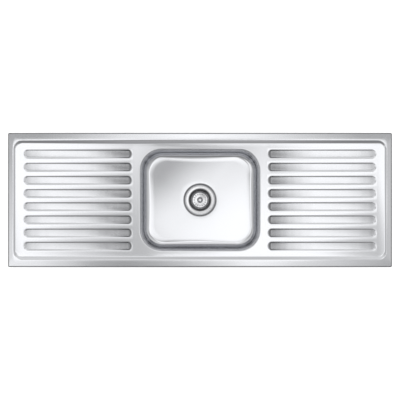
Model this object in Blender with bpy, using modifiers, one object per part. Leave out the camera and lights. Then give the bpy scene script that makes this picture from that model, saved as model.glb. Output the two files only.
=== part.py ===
"""Inset kitchen sink: one pressed bowl between two fluted drainboards, with its waste and worktop clips.

Metres, +Z up.  X runs along the sink, Y from front to back.  The origin is the centre of the worktop
cut-out at the level of the worktop's top face, so the rim's seal rests on Z = 0.
"""

import math

import bmesh
import bpy
from mathutils import Matrix

MM = 0.001
GAP = 0.3 * MM  # air left between two pieces that touch

# ---- sheet metal ----
SHEET = 1.0 * MM
LENGTH = 1524 * MM  # 60 in
WIDTH = 533.4 * MM  # 21 in
HALF_X = LENGTH / 2
HALF_Y = WIDTH / 2

# ---- rim: a frame that falls slightly outwards, with its outer edge rolled down ----
RIM_TOP = 8 * MM  # level of the frame's inner edge
RIM_FALL = 1.3 * MM
RIM_EDGE_BOTTOM = 0.5 * MM
RIM_CORNER = 6 * MM
RIM_EDGE_ROUND = 5 * MM
RIM_ROUND_STEPS = 4
RIM_END = 22 * MM  # flat width at the two ends
RIM_SIDE = 30.2 * MM  # flat width at front and back

# ---- deck: sunk inside the rim and falling towards the bowl ----
STEP_END = 6 * MM  # width of the sloped step in plan
STEP_SIDE = 11 * MM
STEP_CORNER = 34 * MM
DECK_HIGH = 3 * MM  # deck level at the ends
DECK_LOW = -2 * MM  # deck level round the bowl
DECK_LEVEL_X = 252 * MM  # the deck is level between here and the bowl

# ---- flutes: eight grooves on each drainboard ----
FLUTES = 8
FLUTE_PITCH = 52.3 * MM
FLUTE_OUTER_X = 699.6 * MM
FLUTE_INNER_X = 269.5 * MM
FLUTE_HALF = 17 * MM
FLUTE_WALL = 4 * MM  # width of a groove's wall in plan
FLUTE_END_WALL = 11.5 * MM  # the same at the end next to the bowl
FLUTE_END_CORNER = 4 * MM
FLUTE_SHALLOW = 2 * MM
FLUTE_DEEP = 6.6 * MM
FLUTE_BEND_X = (420 * MM, 370 * MM, 325 * MM)  # the floor curves down inwards of the first
FLUTE_ARC_STEPS = 8

# ---- bowl ----
BOWL_HALF_X = 236 * MM
BOWL_HALF_Y = 200 * MM
BOWL_CORNER = 83 * MM
LIP_ROUND = 6 * MM  # the deck rolls down into the bowl
LIP_BOTTOM = -14 * MM
BOWL_DRAFT = 6 * MM
BOWL_FILLET = 28 * MM
BOWL_FLOOR = -193.5 * MM
FLOOR_FALL = 1.5 * MM
RECESS_RADIUS = 67 * MM
RECESS_WALL = 4.5 * MM
RECESS_DEPTH = 3 * MM
WASTE_HOLE = 45 * MM
BOWL_CORNER_STEPS = 6
BOWL_SIDE_POINTS = (-0.5, 0.0, 0.5)

# ---- under the sheet ----
SEAL_WIDTH = 8 * MM
SEAL_SETBACK = 1.5 * MM
SEAL_SHOULDER = 2.6 * MM  # above this the seal slants in under the rim's rolled edge
SEAL_TOP = 5.3 * MM
RAIL_DEPTH = 11.7 * MM
RAIL_OUTSIDE = 11.7 * MM  # from the rim's edge to the rail's outer face
RAIL_WIDTH = 9.5 * MM
RAIL_LIP = 6 * MM
RAIL_END_CLEAR = 62 * MM
STIFFENER_X = (452 * MM, 630 * MM)
STIFFENER_LENGTH = 430 * MM
PAD_THICKNESS = 3 * MM
PAD_HEIGHT = 95 * MM

# ---- worktop clips: the clip's own frame has its screw at 0 and +X towards the worktop ----
CLIP_SCREW_SETBACK = 28.7 * MM  # from the rim's edge to the screw's axis
CLIP_SHEET = 1.5 * MM
CLIP_WIDTH = 22 * MM
CLIP_HOOK = 14.5 * MM
CLIP_WEB = -7 * MM
CLIP_TOP = -4 * MM
CLIP_BOTTOM = -50.75 * MM
CLIP_FOOT = 8 * MM
CLIP_SIDE_X = (-500 * MM, 0.0, 500 * MM)
CLAW_SHEET = 2.5 * MM
CLAW_WIDTH = 20 * MM
CLAW_LEVEL = -47.25 * MM
CLAW_REACH = 25 * MM
CLAW_TOOTH = 4 * MM
SCREW_RADIUS = 3 * MM
SCREW_TOP = -1 * MM
SCREW_HEAD_RADIUS = 5.5 * MM
SCREW_HEAD_HEIGHT = 4 * MM

# ---- waste: plain numbers are mm, with heights measured from the recess's top face ----
RECESS_FLOOR = BOWL_FLOOR - FLOOR_FALL - RECESS_DEPTH
TURN_STEPS = 32
FLANGE_RADIUS = 57
BODY_THREAD = 43.3
OUTLET_BORE = 19.5
OUTLET_THREAD = 23.7
OUTLET_END = -64
TAIL_RADIUS = 19
TAIL_WALL = 1
TAIL_END = -165
STEM_RADIUS = 3
STEM_BORE = 3.3  # of what is threaded on the stem
CROSS_BAR = (-49, -46)
SLOTS = 16
SLOT_CENTRE = 25 * MM
SLOT_LENGTH = 9 * MM
SLOT_WIDTH = 3 * MM


# ---------------------------------------------------------------- scene, materials and objects


def clear_scene():
    for item in list(bpy.data.objects):
        bpy.data.objects.remove(item, do_unlink=True)


def new_collection(name, hidden=False):
    made = bpy.data.collections.new(name)
    made.hide_render = hidden
    bpy.context.scene.collection.children.link(made)
    return made


def new_material(name, colour, roughness, metallic):
    made = bpy.data.materials.new(name)
    made.use_nodes = True
    shader = made.node_tree.nodes["Principled BSDF"]
    shader.inputs["Base Color"].default_value = (*colour, 1)
    shader.inputs["Roughness"].default_value = roughness
    shader.inputs["Metallic"].default_value = metallic
    made.diffuse_color = (*colour, 1)
    return made


def new_object(name, mesh, material):
    """A sub-part in the sink's collection, with a material of its own."""
    made = bpy.data.objects.new(name, mesh)
    if material.name not in mesh.materials:
        mesh.materials.append(material)
    PARTS.objects.link(made)
    return made


def new_cutter(name, mesh):
    made = bpy.data.objects.new(name, mesh)
    made.hide_render = True
    made.display_type = "WIRE"
    CUTTERS.objects.link(made)
    return made


def mesh_of(bm, name):
    mesh = bpy.data.meshes.new(name)
    bm.to_mesh(mesh)
    bm.free()
    return mesh


def shade(mesh, angle=35):
    mesh.shade_smooth()
    mesh.set_sharp_from_angle(angle=math.radians(angle))


def cut(target, cutter, operation="DIFFERENCE"):
    boolean = target.modifiers.new(cutter.name, "BOOLEAN")
    boolean.operation = operation
    boolean.solver = "EXACT"
    boolean.object = cutter


def thicken(target, thickness, offset=-1):
    """Solidify with even walls; offset -1 grows away from the face normals."""
    solid = target.modifiers.new("sheet", "SOLIDIFY")
    solid.thickness = thickness
    solid.offset = offset
    solid.use_even_offset = True


def baked(target):
    """The target's evaluated mesh, so that copies can share it; the target and its modifiers go."""
    graph = bpy.context.evaluated_depsgraph_get()
    mesh = bpy.data.meshes.new_from_object(target.evaluated_get(graph))
    mesh.name = target.name
    bpy.data.objects.remove(target, do_unlink=True)
    return mesh


# ---------------------------------------------------------------- outlines


def rounded_rectangle(half_x, half_y, radius, corner_steps, x_side=(), y_side=()):
    """Anticlockwise points from the right side's lower end.

    x_side holds extra points on the front and back as fractions of the straight run's half, and
    y_side does the same on the right and left.
    """
    run_x, run_y = half_x - radius, half_y - radius
    points = []
    for quarter in range(4):
        side = y_side if quarter % 2 == 0 else x_side
        for t in side:
            points.append(
                [(half_x, t * run_y), (-t * run_x, half_y), (-half_x, -t * run_y), (t * run_x, -half_y)][quarter]
            )
        centre_x = run_x if quarter in (0, 3) else -run_x
        centre_y = run_y if quarter in (0, 1) else -run_y
        for i in range(corner_steps + 1):
            angle = math.pi / 2 * (quarter + i / corner_steps)
            points.append((centre_x + radius * math.cos(angle), centre_y + radius * math.sin(angle)))
    return points


def bowl_outline(inset):
    """The bowl's section, drawn in by inset from the opening."""
    return rounded_rectangle(
        BOWL_HALF_X - inset,
        BOWL_HALF_Y - inset,
        BOWL_CORNER - inset,
        BOWL_CORNER_STEPS,
        BOWL_SIDE_POINTS,
        BOWL_SIDE_POINTS,
    )


def rim_outline(in_x, in_y, radius):
    """The rim's section, in_x from the ends and in_y from front and back."""
    level = DECK_LEVEL_X / (HALF_X - in_x - radius)
    return rounded_rectangle(HALF_X - in_x, HALF_Y - in_y, radius, 6, (-level, level))


def half_round(centre_x, y, half, start):
    """A half circle's points, anticlockwise from the angle start."""
    angles = [start + math.pi * i / FLUTE_ARC_STEPS for i in range(FLUTE_ARC_STEPS + 1)]
    return [(centre_x + half * math.cos(a), y + half * math.sin(a)) for a in angles]


def flute_top(y):
    """A groove's outline in the deck of the +X drainboard: a slot with two half-round ends."""
    return (
        half_round(FLUTE_OUTER_X - FLUTE_HALF, y, FLUTE_HALF, -math.pi / 2)
        + [(x, y + FLUTE_HALF) for x in FLUTE_BEND_X]
        + half_round(FLUTE_INNER_X + FLUTE_HALF, y, FLUTE_HALF, math.pi / 2)
        + [(x, y - FLUTE_HALF) for x in reversed(FLUTE_BEND_X)]
    )


def flute_floor(y):
    """The groove's floor: half round at the outer end, nearly square next to the bowl."""
    half = FLUTE_HALF - FLUTE_WALL
    points = half_round(FLUTE_OUTER_X - FLUTE_HALF, y, half, -math.pi / 2)
    points += [(x, y + half) for x in FLUTE_BEND_X]
    end = FLUTE_INNER_X + FLUTE_END_WALL
    corner_steps = FLUTE_ARC_STEPS // 2 - 1
    for side in (1, -1):
        for i in range(corner_steps + 1):
            a = math.pi / 2 * i / corner_steps
            if side < 0:
                a = math.pi / 2 - a
            x = end + FLUTE_END_CORNER * (1 - math.sin(a))
            points.append((x, y + side * (half - FLUTE_END_CORNER * (1 - math.cos(a)))))
        if side > 0:
            points.append((end, y))
    return points + [(x, y - half) for x in reversed(FLUTE_BEND_X)]


def deck_slope():
    return (DECK_HIGH - DECK_LOW) / (HALF_X - RIM_END - STEP_END - DECK_LEVEL_X)


def deck_level(x):
    outwards = min(abs(x), HALF_X - RIM_END - STEP_END) - DECK_LEVEL_X
    return DECK_LOW + deck_slope() * max(outwards, 0)


def flute_depth(x):
    """Shallow and even along most of its length, then curving down towards the bowl."""
    bend, end = FLUTE_BEND_X[0], FLUTE_INNER_X + FLUTE_END_WALL
    inwards = min(max((bend - abs(x)) / (bend - end), 0), 1)
    return FLUTE_SHALLOW + (FLUTE_DEEP - FLUTE_SHALLOW) * inwards**2


# ---------------------------------------------------------------- lofting


def add_ring(bm, points, z):
    """A closed ring of edges, as its vertices in order; z is one level or a function of x."""
    level = z if callable(z) else lambda x: z
    ring = [bm.verts.new((x, y, level(x))) for x, y in points]
    for pair in zip(ring, ring[1:] + ring[:1]):
        bm.edges.new(pair)
    return ring


def edges_of(bm, ring):
    return [bm.edges.get(pair) for pair in zip(ring, ring[1:] + ring[:1])]


def loft(bm, rings):
    """Join each ring to the next, point to point, so unlike sections don't twist."""
    for ring, following in zip(rings, rings[1:]):
        turned_ring = ring[1:] + ring[:1]
        turned_following = following[1:] + following[:1]
        for corners in zip(ring, turned_ring, turned_following, following):
            bm.faces.new(corners)


def face_up(bm):
    """Turn an open surface so that its faces agree and its level faces look up."""
    bmesh.ops.recalc_face_normals(bm, faces=bm.faces)
    lean = sum(face.normal.z * face.calc_area() for face in bm.faces)
    if lean < 0:
        bmesh.ops.reverse_faces(bm, faces=bm.faces)


# ---------------------------------------------------------------- deck and bowl


def make_deck():
    """Rim, sunk deck, both sets of flutes and the rolled lip of the bowl, in one sheet."""
    bm = bmesh.new()
    rim = [add_ring(bm, rim_outline(0, 0, RIM_CORNER), RIM_EDGE_BOTTOM)]
    for i in range(RIM_ROUND_STEPS + 1):
        a = math.pi / 2 * i / RIM_ROUND_STEPS
        inward = RIM_EDGE_ROUND * (1 - math.cos(a))
        level = RIM_TOP - RIM_FALL - RIM_EDGE_ROUND * (1 - math.sin(a))
        rim.append(add_ring(bm, rim_outline(inward, inward, RIM_CORNER - inward), level))
    rim.append(add_ring(bm, rim_outline(RIM_END, RIM_SIDE, STEP_CORNER), RIM_TOP))
    step_foot = rim_outline(RIM_END + STEP_END, RIM_SIDE + STEP_SIDE, STEP_CORNER - STEP_END)
    rim.append(add_ring(bm, step_foot, deck_level))
    loft(bm, rim)

    lip = [add_ring(bm, bowl_outline(-LIP_ROUND), DECK_LOW)]
    for i in range(1, 5):
        a = math.pi / 2 * i / 4
        inset = -LIP_ROUND * (1 - math.sin(a))
        lip.append(add_ring(bm, bowl_outline(inset), DECK_LOW - LIP_ROUND * (1 - math.cos(a))))
    lip.append(add_ring(bm, bowl_outline(0), LIP_BOTTOM))
    loft(bm, lip)

    plane_edges = edges_of(bm, rim[-1]) + edges_of(bm, lip[0])
    for side in (1, -1):
        for k in range(FLUTES):
            y = (k - (FLUTES - 1) / 2) * FLUTE_PITCH
            top = [(side * x, py) for x, py in flute_top(y)]
            floor = [(side * x, py) for x, py in flute_floor(y)]
            top_ring = add_ring(bm, top, deck_level)
            floor_ring = add_ring(bm, floor, lambda x: deck_level(x) - flute_depth(x))
            loft(bm, [top_ring, floor_ring])
            bmesh.ops.triangle_fill(bm, edges=edges_of(bm, floor_ring), use_beauty=True, normal=(0, 0, 1))
            plane_edges += edges_of(bm, top_ring)
    bmesh.ops.triangle_fill(bm, edges=plane_edges, use_beauty=True, normal=(0, 0, 1))
    face_up(bm)
    mesh = mesh_of(bm, "deck")
    deck = new_object("deck", mesh, STEEL)
    thicken(deck, SHEET)
    shade(mesh)


def floor_ring_points(t):
    """Between the foot of the bowl's walls (t = 0) and the drain recess (t = 1)."""
    outer = bowl_outline(BOWL_DRAFT + BOWL_FILLET)
    points = []
    for x, y in outer:
        reach = math.hypot(x, y)
        scale = (1 - t) + t * RECESS_RADIUS / reach
        points.append((x * scale, y * scale))
    return points


def ring_points(radius):
    return [(x * radius / math.hypot(x, y), y * radius / math.hypot(x, y)) for x, y in bowl_outline(0)]


def bowl_wall():
    """(inset, level) down the bowl's wall and round its bottom fillet."""
    wall_foot = BOWL_FLOOR + BOWL_FILLET
    path = [(0.0, LIP_BOTTOM - GAP), (BOWL_DRAFT, wall_foot)]
    for i in range(1, 7):
        a = math.pi / 2 * i / 6
        path.append((BOWL_DRAFT + BOWL_FILLET * (1 - math.cos(a)), wall_foot - BOWL_FILLET * math.sin(a)))
    return path


def make_bowl():
    """The drawn bowl, seam-welded under the deck's lip."""
    bm = bmesh.new()
    rings = [add_ring(bm, bowl_outline(inset), level) for inset, level in bowl_wall()]
    for t in (1 / 3, 2 / 3):
        rings.append(add_ring(bm, floor_ring_points(t), BOWL_FLOOR - FLOOR_FALL * t))
    rings.append(add_ring(bm, ring_points(RECESS_RADIUS), BOWL_FLOOR - FLOOR_FALL))
    rings.append(add_ring(bm, ring_points(RECESS_RADIUS - RECESS_WALL), RECESS_FLOOR))
    rings.append(add_ring(bm, ring_points(WASTE_HOLE), RECESS_FLOOR))
    loft(bm, rings)
    face_up(bm)
    mesh = mesh_of(bm, "bowl")
    bowl = new_object("bowl", mesh, STEEL)
    thicken(bowl, SHEET)
    shade(mesh)


# ---------------------------------------------------------------- under the sheet


def folded_sheet(path, width, thickness):
    """A strip bent along path, (x, z) points of its middle layer, and width long in Y, as a mesh."""
    bm = bmesh.new()
    verts = [bm.verts.new((x, -width / 2, z)) for x, z in path]
    edges = [bm.edges.new(pair) for pair in zip(verts, verts[1:])]
    swept = bmesh.ops.extrude_edge_only(bm, edges=edges)["geom"]
    moved = [item for item in swept if isinstance(item, bmesh.types.BMVert)]
    bmesh.ops.translate(bm, verts=moved, vec=(0, width, 0))
    bmesh.ops.recalc_face_normals(bm, faces=bm.faces)
    draft = bpy.data.objects.new("draft", mesh_of(bm, "draft"))
    PARTS.objects.link(draft)
    thicken(draft, thickness, offset=0)
    return baked(draft)


def make_seal():
    """Closed-cell strip stuck under the rim; its lower face rests on the worktop."""
    bm = bmesh.new()
    outer = SEAL_SETBACK
    inner = SEAL_SETBACK + SEAL_WIDTH
    rings = [
        add_ring(bm, rounded_rectangle(HALF_X - inset, HALF_Y - inset, radius, 3), level)
        for inset, radius, level in (
            (RIM_EDGE_ROUND, 2 * MM, SEAL_TOP),
            (outer, 4 * MM, SEAL_SHOULDER),
            (outer, 4 * MM, 0),
            (inner, 1 * MM, 0),
            (inner, 1 * MM, SEAL_TOP),
        )
    ]
    loft(bm, rings + rings[:1])
    bmesh.ops.recalc_face_normals(bm, faces=bm.faces)
    new_object("rim_seal", mesh_of(bm, "rim_seal"), FOAM)


def make_rails():
    """Pressed channels welded under the rim, open towards the bowl, for the clips to hook into."""
    rail_top = RIM_TOP - RIM_FALL - SHEET
    top = rail_top - SHEET / 2
    bottom = rail_top - RAIL_DEPTH + SHEET / 2
    outer = -RAIL_OUTSIDE - SHEET / 2
    path = [
        (-RAIL_OUTSIDE - RAIL_WIDTH, top),
        (outer, top),
        (outer, bottom),
        (-RAIL_OUTSIDE - RAIL_LIP, bottom),
    ]
    side_mesh = folded_sheet(path, LENGTH - 2 * RAIL_END_CLEAR, SHEET)
    end_mesh = folded_sheet(path, WIDTH - 2 * RAIL_END_CLEAR, SHEET)
    for name, mesh, x, y, turn in (
        ("clip_rail_front", side_mesh, 0, -HALF_Y, -90),
        ("clip_rail_back", side_mesh, 0, HALF_Y, 90),
        ("clip_rail_right", end_mesh, HALF_X, 0, 0),
        ("clip_rail_left", end_mesh, -HALF_X, 0, 180),
    ):
        rail = new_object(name, mesh, GALVANISED)
        rail.location = (x, y, 0)
        rail.rotation_euler.z = math.radians(turn)


def make_stiffeners():
    """Hat-section bars bonded across the undersides of the flutes."""
    flange, half, height = 15 * MM, 16 * MM, 14 * MM
    path = [
        (-half - flange, 0),
        (-half, 0),
        (-half + 3 * MM, -height),
        (half - 3 * MM, -height),
        (half, 0),
        (half + flange, 0),
    ]
    mesh = folded_sheet(path, STIFFENER_LENGTH, SHEET)
    for side, name in ((-1, "left"), (1, "right")):
        for x, place in zip(STIFFENER_X, ("inner", "outer")):
            bar = new_object(f"stiffener_{name}_{place}", mesh, GALVANISED)
            level = deck_level(x) - FLUTE_SHALLOW - SHEET - GAP - SHEET / 2
            bar.location = (side * x, 0, level)
            bar.rotation_euler.y = -side * math.atan(deck_slope())


def make_pads():
    """Sound-deadening pads on the bowl's four walls, and one round the waste under its floor."""
    top_level, foot_level = LIP_BOTTOM, BOWL_FLOOR + BOWL_FILLET
    draft = math.atan(BOWL_DRAFT / (top_level - foot_level))
    middle = (top_level + foot_level) / 2
    out = -BOWL_DRAFT / 2 + SHEET + GAP + PAD_THICKNESS / 2
    for name, reach, length, turn in (
        ("sound_pad_front", BOWL_HALF_Y, 280 * MM, -90),
        ("sound_pad_back", BOWL_HALF_Y, 280 * MM, 90),
        ("sound_pad_right", BOWL_HALF_X, 210 * MM, 0),
        ("sound_pad_left", BOWL_HALF_X, 210 * MM, 180),
    ):
        bm = bmesh.new()
        bmesh.ops.create_cube(bm, size=1)
        bmesh.ops.scale(bm, vec=(PAD_THICKNESS, length, PAD_HEIGHT), verts=bm.verts)
        bmesh.ops.rotate(bm, matrix=Matrix.Rotation(draft, 3, "Y"), verts=bm.verts)
        bmesh.ops.translate(bm, vec=(reach + out, 0, middle), verts=bm.verts)
        pad = new_object(name, mesh_of(bm, name), BITUMEN)
        pad.rotation_euler.z = math.radians(turn)

    bm = bmesh.new()
    rings = []
    for t in (0.12, 0.4, 0.7):
        rings.append(add_ring(bm, floor_ring_points(t), BOWL_FLOOR - FLOOR_FALL * t - SHEET - 2 * GAP))
    loft(bm, rings)
    face_up(bm)
    pad = new_object("sound_pad_floor", mesh_of(bm, "sound_pad_floor"), BITUMEN)
    thicken(pad, PAD_THICKNESS)


# ---------------------------------------------------------------- worktop clips


def cylinder_mesh(name, radius, low, high, sides=16):
    bm = bmesh.new()
    bmesh.ops.create_cone(
        bm, cap_ends=True, segments=sides, radius1=radius, radius2=radius, depth=high - low
    )
    bmesh.ops.translate(bm, vec=(0, 0, (low + high) / 2), verts=bm.verts)
    return mesh_of(bm, name)


def make_clip_meshes():
    """The bracket hooks into the rail, the screw turns in it, and the claw climbs the screw."""
    hole = new_cutter(
        "clip_screw_hole", cylinder_mesh("clip_screw_hole", SCREW_RADIUS + GAP, -60 * MM, 10 * MM)
    )
    path = [(CLIP_HOOK, CLIP_TOP), (CLIP_WEB, CLIP_TOP), (CLIP_WEB, CLIP_BOTTOM), (CLIP_FOOT, CLIP_BOTTOM)]
    bracket = bpy.data.objects.new("bracket", folded_sheet(path, CLIP_WIDTH, CLIP_SHEET))
    PARTS.objects.link(bracket)
    cut(bracket, hole)

    inner_edge = CLIP_WEB + CLIP_SHEET / 2 + GAP
    path = [
        (inner_edge, CLAW_LEVEL),
        (CLAW_REACH, CLAW_LEVEL),
        (CLAW_REACH, CLAW_LEVEL + CLAW_SHEET / 2 + CLAW_TOOTH),
    ]
    claw = bpy.data.objects.new("claw", folded_sheet(path, CLAW_WIDTH, CLAW_SHEET))
    PARTS.objects.link(claw)
    cut(claw, hole)

    head_top = CLIP_BOTTOM - CLIP_SHEET / 2 - GAP
    shank_mesh = cylinder_mesh("screw_shank", SCREW_RADIUS, head_top - 1 * MM, SCREW_TOP, 12)
    head_mesh = cylinder_mesh("screw_head", SCREW_HEAD_RADIUS, head_top - SCREW_HEAD_HEIGHT, head_top, 6)
    screw = bpy.data.objects.new("screw", shank_mesh)
    PARTS.objects.link(screw)
    cut(screw, new_cutter("screw_head", head_mesh), "UNION")
    return baked(bracket), baked(screw), baked(claw)


def clip_places():
    """(x, y, turn) of each clip's screw, numbered clockwise seen from above, from the left end."""
    side_y = HALF_Y - CLIP_SCREW_SETBACK
    places = [(-HALF_X + CLIP_SCREW_SETBACK, 0, 180)]
    places += [(x, side_y, 90) for x in CLIP_SIDE_X]
    places += [(HALF_X - CLIP_SCREW_SETBACK, 0, 0)]
    places += [(x, -side_y, -90) for x in reversed(CLIP_SIDE_X)]
    return places


def make_clips():
    bracket_mesh, screw_mesh, claw_mesh = make_clip_meshes()
    for number, (x, y, turn) in enumerate(clip_places(), 1):
        for kind, mesh, material in (
            ("bracket", bracket_mesh, GALVANISED),
            ("screw", screw_mesh, ZINC),
            ("claw", claw_mesh, GALVANISED),
        ):
            piece = new_object(f"clip_{number}_{kind}", mesh, material)
            piece.location = (x, y, 0)
            piece.rotation_euler.z = math.radians(turn)


# ---------------------------------------------------------------- waste


def turned(name, profile, material, steps=TURN_STEPS, closed=True):
    """A profile of (radius, height) in mm spun about the drain's axis.

    A closed profile runs down its outer side first; an open one starts and ends on the axis.
    """
    bm = bmesh.new()
    verts = [bm.verts.new((radius * MM, 0, height * MM)) for radius, height in profile]
    for pair in zip(verts, verts[1:]):
        bm.edges.new(pair)
    if closed:
        bm.edges.new((verts[-1], verts[0]))
    made = new_object(name, mesh_of(bm, name), material)
    made.location = (0, 0, RECESS_FLOOR)
    screw = made.modifiers.new("turn", "SCREW")
    screw.steps = steps
    screw.render_steps = steps
    screw.use_merge_vertices = True
    screw.merge_threshold = 0.00001
    screw.use_smooth_shade = True
    return made


def ring(name, inner, outer, bottom, top, material):
    return turned(name, [(outer, top), (outer, bottom), (inner, bottom), (inner, top)], material)


def bars_mesh(name, count, start, length, width, low, high):
    """Radial bars of a spoked pattern, as one mesh of separate boxes."""
    bm = bmesh.new()
    for k in range(count):
        made = bmesh.ops.create_cube(bm, size=1)["verts"]
        bmesh.ops.scale(bm, vec=(length, width, high - low), verts=made)
        bmesh.ops.translate(bm, vec=(start + length / 2, 0, (low + high) / 2), verts=made)
        bmesh.ops.rotate(bm, matrix=Matrix.Rotation(math.tau * k / count, 3, "Z"), verts=made)
    return mesh_of(bm, name)


def make_strainer_body():
    """Flange, tapered cup and threaded outlet, with a cross bar that the plug's pin locks into."""
    inside = [
        (OUTLET_BORE, OUTLET_END),
        (OUTLET_BORE, -43.0),
        (24.0, -41.5),
        (34.0, -40.0),
        (37.0, -38.0),
        (38.0, -34.5),
        (38.9, -16.0),
        (41.5, -4.5),
        (42.4, -1.0),
        (44.2, 1.4),
        (47.5, 2.9),
        (56.2, 3.4),
    ]
    outside = [
        (FLANGE_RADIUS, 3.0),
        (FLANGE_RADIUS, 2.1),
        (46.5, 2.1),
        (44.6, 0.9),
        (43.5, -1.0),
        (BODY_THREAD, -2.0),
        (BODY_THREAD, -30.0),
        (40.2, -36.0),
        (38.4, -40.0),
        (34.6, -42.0),
        (25.0, -43.6),
        (OUTLET_THREAD, -45.0),
        (OUTLET_THREAD, OUTLET_END),
    ]
    body = turned("strainer_body", outside + inside, STEEL_BRIGHT)
    level = [RECESS_FLOOR + height * MM for height in CROSS_BAR]
    arms = new_cutter("cross_bar", bars_mesh("cross_bar", 4, 4 * MM, 17 * MM, 3 * MM, *level))
    hub = new_cutter("cross_bar_hub", cylinder_mesh("cross_bar_hub", 8.2 * MM, level[0], level[1]))
    eye = new_cutter(
        "cross_bar_eye", cylinder_mesh("cross_bar_eye", 5.3 * MM, level[0] - MM, level[1] + MM)
    )
    cut(body, arms, "UNION")
    cut(body, hub, "UNION")
    cut(body, eye)


def make_waste_seals():
    ring("flange_gasket", 47, 56, 0.3, 1.8, RUBBER)
    ring("body_washer", 44, 56, -4.3, -1.3, RUBBER)
    ring("friction_ring", 44, 55, -5.6, -4.6, FIBRE)
    ring("tailpiece_washer", 19.6, 23.4, OUTLET_END - 3.3, OUTLET_END - 0.3, RUBBER)


def make_lock_nut():
    """Large ring nut under the bowl, with notches for a peg spanner."""
    profile = [(53, -5.9), (53, -9), (48.5, -9.5), (48.5, -17), (43.9, -17), (43.9, -5.9)]
    nut = turned("lock_nut", profile, ZINC)
    notches = bars_mesh(
        "lock_nut_notches", 6, 50.5 * MM, 8 * MM, 9 * MM, RECESS_FLOOR - 12 * MM, RECESS_FLOOR
    )
    cut(nut, new_cutter("lock_nut_notches", notches))


def make_tail():
    """Flanged tailpiece, held up against the body's outlet by its coupling nut."""
    bore = TAIL_RADIUS - TAIL_WALL
    top = OUTLET_END - 3.6
    profile = [
        (23.3, top),
        (23.3, top - 1.5),
        (TAIL_RADIUS, top - 1.5),
        (TAIL_RADIUS, TAIL_END),
        (bore, TAIL_END),
        (bore, top),
    ]
    turned("tailpiece", profile, STEEL_BRIGHT)
    low, high = RECESS_FLOOR - 75 * MM, RECESS_FLOOR - 48 * MM
    nut = new_object("coupling_nut", cylinder_mesh("coupling_nut", 31 * MM, low, high, 8), ZINC)
    shoulder = top - 2
    wide, narrow = OUTLET_THREAD + 0.4, TAIL_RADIUS + 0.4
    profile = [(0, -40), (wide, -40), (wide, shoulder), (narrow, shoulder), (narrow, -80), (0, -80)]
    bore = turned("coupling_bore", profile, ZINC, closed=False)
    PARTS.objects.unlink(bore)
    CUTTERS.objects.link(bore)
    bore.hide_render = True
    bore.display_type = "WIRE"
    cut(nut, bore)


def make_basket():
    """Spun basket with a ring of radial slots; it turns on the stem."""
    profile = [
        (37.6, -15.6),
        (37.6, -17.0),
        (35.2, -17.4),
        (33.4, -28.5),
        (31.0, -31.2),
        (12.0, -31.8),
        (10.0, -34.0),
        (3.4, -34.0),
        (3.4, -33.2),
        (9.6, -33.2),
        (11.6, -31.0),
        (30.6, -30.4),
        (32.6, -28.1),
        (34.5, -16.6),
        (35.4, -15.2),
        (37.0, -15.0),
    ]
    basket = turned("basket", profile, STEEL_BRIGHT)
    slots = bars_mesh(
        "basket_slots",
        SLOTS,
        SLOT_CENTRE - SLOT_LENGTH / 2,
        SLOT_LENGTH,
        SLOT_WIDTH,
        RECESS_FLOOR - 36 * MM,
        RECESS_FLOOR - 26 * MM,
    )
    cut(basket, new_cutter("basket_slots", slots))


def make_plug():
    """What lifts out with the basket: knob, stem, rubber stopper and the spring clip on the pin."""
    turned(
        "knob",
        [
            (0, -14),
            (4, -14.2),
            (6.6, -15.2),
            (7.5, -17),
            (6.8, -18.6),
            (4.6, -19.6),
            (4.2, -26),
            (5.4, -27.5),
            (5.4, -29),
            (STEM_BORE, -29),
            (STEM_BORE, -19),
            (0, -19),
        ],
        STEEL_BRIGHT,
        24,
        closed=False,
    )
    turned(
        "stem",
        [
            (0, -19.3),
            (STEM_RADIUS, -19.3),
            (STEM_RADIUS, -34.3),
            (7, -34.3),
            (7, -35.5),
            (STEM_RADIUS, -35.5),
            (STEM_RADIUS, -51),
            (2, -52.5),
            (0, -52.5),
        ],
        STEEL_BRIGHT,
        16,
        closed=False,
    )
    turned(
        "stopper",
        [
            (20, -35.9),
            (24, -37.2),
            (25, -38.8),
            (25, -40.9),
            (22.5, -41.0),
            (18.6, -43.0),
            (17.4, -44.2),
            (9, -44.2),
            (STEM_BORE, -44.2),
            (STEM_BORE, -35.9),
        ],
        RUBBER,
    )
    turned(
        "spring_clip",
        [(4.2, -44.6), (4.9, -47.5), (4.2, -50.4), (STEM_BORE, -50.4), (STEM_BORE, -44.6)],
        BRASS,
        16,
    )


clear_scene()
PARTS = new_collection("double_drainboard_sink")
CUTTERS = new_collection("cutters", hidden=True)

STEEL = new_material("satin_stainless", (0.72, 0.73, 0.75), 0.28, 1)
STEEL_BRIGHT = new_material("bright_stainless", (0.78, 0.79, 0.80), 0.14, 1)
GALVANISED = new_material("galvanised_steel", (0.55, 0.57, 0.58), 0.45, 1)
ZINC = new_material("zinc_plate", (0.63, 0.63, 0.61), 0.32, 1)
BRASS = new_material("phosphor_bronze", (0.70, 0.50, 0.26), 0.30, 1)
FOAM = new_material("cellular_seal", (0.10, 0.10, 0.11), 0.90, 0)
RUBBER = new_material("black_rubber", (0.03, 0.03, 0.03), 0.60, 0)
FIBRE = new_material("grey_fibre", (0.32, 0.30, 0.27), 0.85, 0)
BITUMEN = new_material("bitumen_pad", (0.12, 0.12, 0.12), 0.80, 0)

make_deck()
make_bowl()
make_seal()
make_rails()
make_stiffeners()
make_pads()
make_clips()
make_strainer_body()
make_waste_seals()
make_lock_nut()
make_tail()
make_basket()
make_plug()
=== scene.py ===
# %% [markdown]
# # A pressed steel sink, built in Blender around its CAD model
#
# The object is an inset kitchen sink: one sheet of stainless steel pressed into two fluted drainboards, a
# bowl welded under the opening between them, a basket strainer in the bowl, and under the rim the rails
# and clips that pull the sink down onto a worktop.  The CAD model holds every size and every motion.  This
# lesson makes the surfaces that the eye sees, in the same place, and the metals, rubbers and light.

# %% Load the CAD model
import math

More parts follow.
